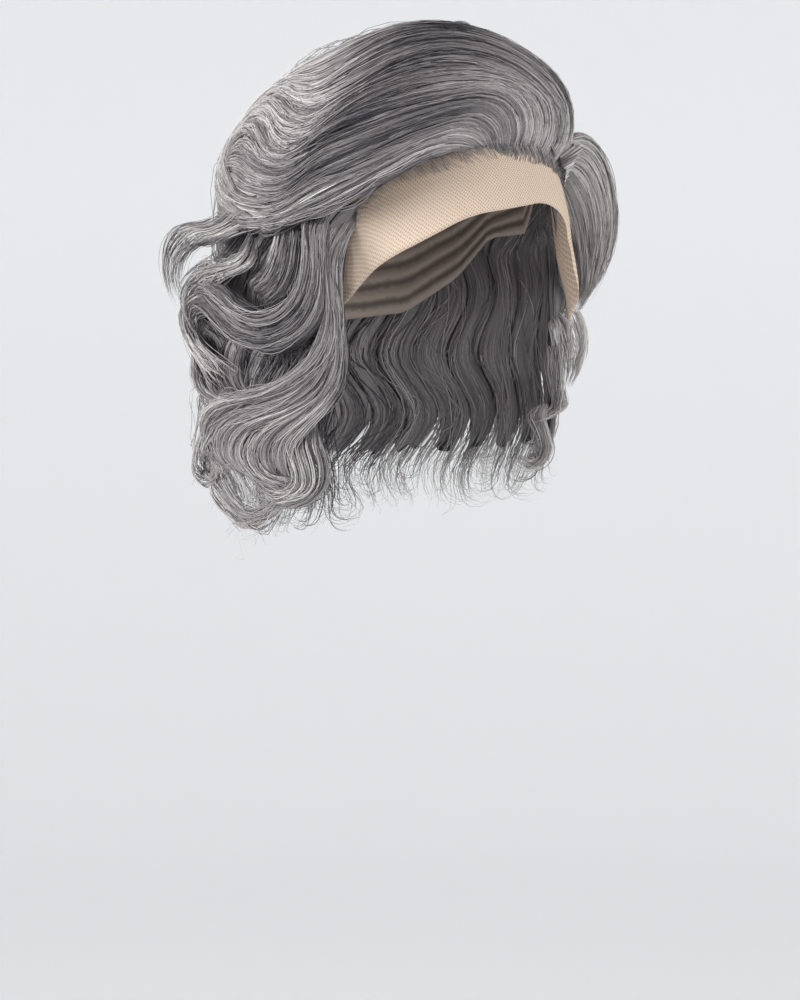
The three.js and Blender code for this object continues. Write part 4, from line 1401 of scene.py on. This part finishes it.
def lace_height(angle, level):
    """Height of the lace over the inner form: flat, but for the folded tab at the left temple."""
    free = smooth((angle - TAB_START) / (TAB_FULL - TAB_START))
    low = smooth((level - TAB_LEVEL) / (1.0 - TAB_LEVEL))
    fold = TAB_FOLD * np.sin(2 * np.pi * angle / TAB_FOLD_ANGLE)
    return LACE_HEIGHT + free * low * (TAB_LIFT + fold)


def lace_place(u, v):
    first, last = LACE_EDGE_ANGLES[0], LACE_EDGE_ANGLES[-1]
    angle = first + u * (last - first)
    top = np.interp(np.abs(angle), HAIRLINE_ANGLES, HAIRLINE_DROPS) - LACE_OVERLAP
    nearby = angle + np.linspace(-LACE_EDGE_SOFTENING, LACE_EDGE_SOFTENING, EDGE_SAMPLES)[:, None]
    edge = np.interp(nearby, LACE_EDGE_ANGLES, LACE_EDGE_DROPS).mean(axis=0)
    base, out, _ = head_under(head_point(angle, top + v * (edge - top)))
    return base + out * lace_height(angle, v)[:, None]


def cap_place(u, v):
    angle = u * 360.0 - 180.0
    edge = np.interp(np.abs(angle), CAP_EDGE_ANGLES, CAP_EDGE_DROPS) - CAP_SEAM_GAP
    nearby = np.abs(angle + np.linspace(-CAP_ROW_SOFTENING, CAP_ROW_SOFTENING, EDGE_SAMPLES)[:, None])
    nearby = np.minimum(nearby, 360.0 - nearby)
    soft = np.interp(nearby, CAP_EDGE_ANGLES, CAP_EDGE_DROPS).mean(axis=0) - CAP_SEAM_GAP
    base, out, _ = head_under(head_point(angle, v * (soft + (edge - soft) * v ** CAP_EDGE_POWER)))
    return base + out * CAP_HEIGHT


def add_thickness(piece, thickness):
    wall = piece.modifiers.new("wall", "SOLIDIFY")
    wall.thickness = thickness
    wall.offset = 0.0


class WIG_OT_lace(bpy.types.Operator):
    """Build the sheer lace front"""
    bl_idname = "wig.build_lace"
    bl_label = "Build Lace Front"

    def execute(self, context):
        sizes, colours = context.scene.wig_sizes, context.scene.wig_colours
        material = lace_material(colours, sizes.lace_mesh, LACE_WIDTH, LACE_DEPTH)
        mesh = grid_mesh("lace_front_net", SHEET_COLUMNS, LACE_ROWS, lace_place)
        lace = add_piece("lace_front_net", mesh, material)
        add_thickness(lace, sizes.lace_thickness)
        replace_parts(lace, "lace_front")
        return {"FINISHED"}


class WIG_OT_cap(bpy.types.Operator):
    """Build the cap that the hair is sewn on"""
    bl_idname = "wig.build_cap"
    bl_label = "Build Cap"

    def execute(self, context):
        sizes, colours = context.scene.wig_sizes, context.scene.wig_colours
        material = cap_material(colours, sizes.weft_spacing, CAP_DEPTH)
        mesh = grid_mesh("weft_cap", SHEET_COLUMNS, CAP_ROWS, cap_place)
        cap = add_piece("weft_cap", mesh, material)
        add_thickness(cap, sizes.cap_thickness)
        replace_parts(cap, "cap")
        return {"FINISHED"}


# Stage


def add_area_light(name, place, aim, size, power):
    light = bpy.data.lights.new(name, "AREA")
    light.shape = "RECTANGLE"
    light.size, light.size_y = size
    light.energy = power
    lamp = bpy.data.objects.new(name, light)
    lamp.location = place
    lamp.rotation_euler = (aim - place).to_track_quat("-Z", "Y").to_euler()
    bpy.context.scene.collection.objects.link(lamp)


def build_backdrop(stage, colours):
    """Round floor that sweeps up into a wall."""
    shape = bmesh.new()
    profile = [shape.verts.new((0.0, 0.0, 0.0)), shape.verts.new((FLOOR_RADIUS, 0.0, 0.0))]
    for step in range(1, SWEEP_STEPS + 1):
        turn = math.radians(90 * step / SWEEP_STEPS)
        out, up = SWEEP_RADIUS * math.sin(turn), SWEEP_RADIUS * (1.0 - math.cos(turn))
        profile.append(shape.verts.new((FLOOR_RADIUS + out, 0.0, up)))
    profile.append(shape.verts.new((FLOOR_RADIUS + SWEEP_RADIUS, 0.0, SWEEP_RADIUS + WALL_HEIGHT)))
    edges = [shape.edges.new(pair) for pair in zip(profile, profile[1:])]
    bmesh.ops.spin(
        shape, geom=profile + edges, cent=(0, 0, 0), axis=(0, 0, 1), angle=2 * math.pi,
        steps=BACKDROP_STEPS, use_merge=True)
    bmesh.ops.remove_doubles(shape, verts=shape.verts, dist=MERGE_DISTANCE)
    bmesh.ops.translate(shape, verts=shape.verts, vec=(0.0, 0.0, stage.floor_height))
    bmesh.ops.recalc_face_normals(shape, faces=shape.faces)
    bmesh.ops.reverse_faces(shape, faces=shape.faces)
    mesh = bpy.data.meshes.new("backdrop")
    shape.to_mesh(mesh)
    shape.free()
    mesh.shade_smooth()
    backdrop = bpy.data.objects.new("backdrop", mesh)
    bpy.context.scene.collection.objects.link(backdrop)
    mesh.materials.append(backdrop_material(colours))


class WIG_OT_stage(bpy.types.Operator):
    """Build the pale backdrop, the soft lights and the camera"""
    bl_idname = "wig.build_stage"
    bl_label = "Build Stage"

    def execute(self, context):
        stage, colours = context.scene.wig_stage, context.scene.wig_colours
        build_backdrop(stage, colours)
        view = PhotoView(stage)
        eye, aim = Vector(view.eye), Vector(view.aim)
        data = bpy.data.cameras.new("camera")
        data.lens = stage.lens
        data.sensor_width = SENSOR_WIDTH
        camera = bpy.data.objects.new("camera", data)
        camera.location = eye
        camera.rotation_euler = (aim - eye).to_track_quat("-Z", "Y").to_euler()
        context.scene.collection.objects.link(camera)
        context.scene.camera = camera
        right, near, up = Vector(view.right), Vector(view.side), Vector((0.0, 0.0, 1.0))
        middle = up * LIGHT_AIM_HEIGHT
        for row in LIGHTS:
            place = middle + right * row["right"] + near * row["near"] + up * row["up"]
            add_area_light(row["name"], place, middle, row["size"], row["power"])
        world = bpy.data.worlds.new("studio")
        world.use_nodes = True
        context.scene.world = world
        surround = world.node_tree.nodes["Background"]
        surround.inputs["Color"].default_value = opaque(colours.backdrop)
        surround.inputs["Strength"].default_value = SURROUND_STRENGTH
        context.scene.view_settings.view_transform = "Standard"
        return {"FINISHED"}


class WIG_PT_panel(bpy.types.Panel):
    bl_label = "Wig"
    bl_idname = "WIG_PT_panel"
    bl_space_type = "VIEW_3D"
    bl_region_type = "UI"
    bl_category = "Wig"

    def draw(self, context):
        for group in (context.scene.wig_sizes, context.scene.wig_colours, context.scene.wig_stage):
            for key in group.__annotations__:
                self.layout.prop(group, key)
        for operator in OPERATORS:
            self.layout.operator(operator.bl_idname)


OPERATORS = (WIG_OT_stage, WIG_OT_cap, WIG_OT_lace, WIG_OT_locks, WIG_OT_swaths, WIG_OT_hairline)
CLASSES = (WigSizes, WigColours, WigStage, *OPERATORS, WIG_PT_panel)


def register():
    for cls in CLASSES:
        bpy.utils.register_class(cls)
    bpy.types.Scene.wig_sizes = PointerProperty(type=WigSizes)
    bpy.types.Scene.wig_colours = PointerProperty(type=WigColours)
    bpy.types.Scene.wig_stage = PointerProperty(type=WigStage)


def unregister():
    del bpy.types.Scene.wig_sizes
    del bpy.types.Scene.wig_colours
    del bpy.types.Scene.wig_stage
    for cls in reversed(CLASSES):
        bpy.utils.unregister_class(cls)


def main():
    register()
    bpy.ops.wig.build_stage()
    bpy.ops.wig.build_cap()
    bpy.ops.wig.build_lace()
    bpy.ops.wig.build_locks()
    bpy.ops.wig.build_swaths()
    bpy.ops.wig.build_hairline()


if __name__ == "__main__":
    main()
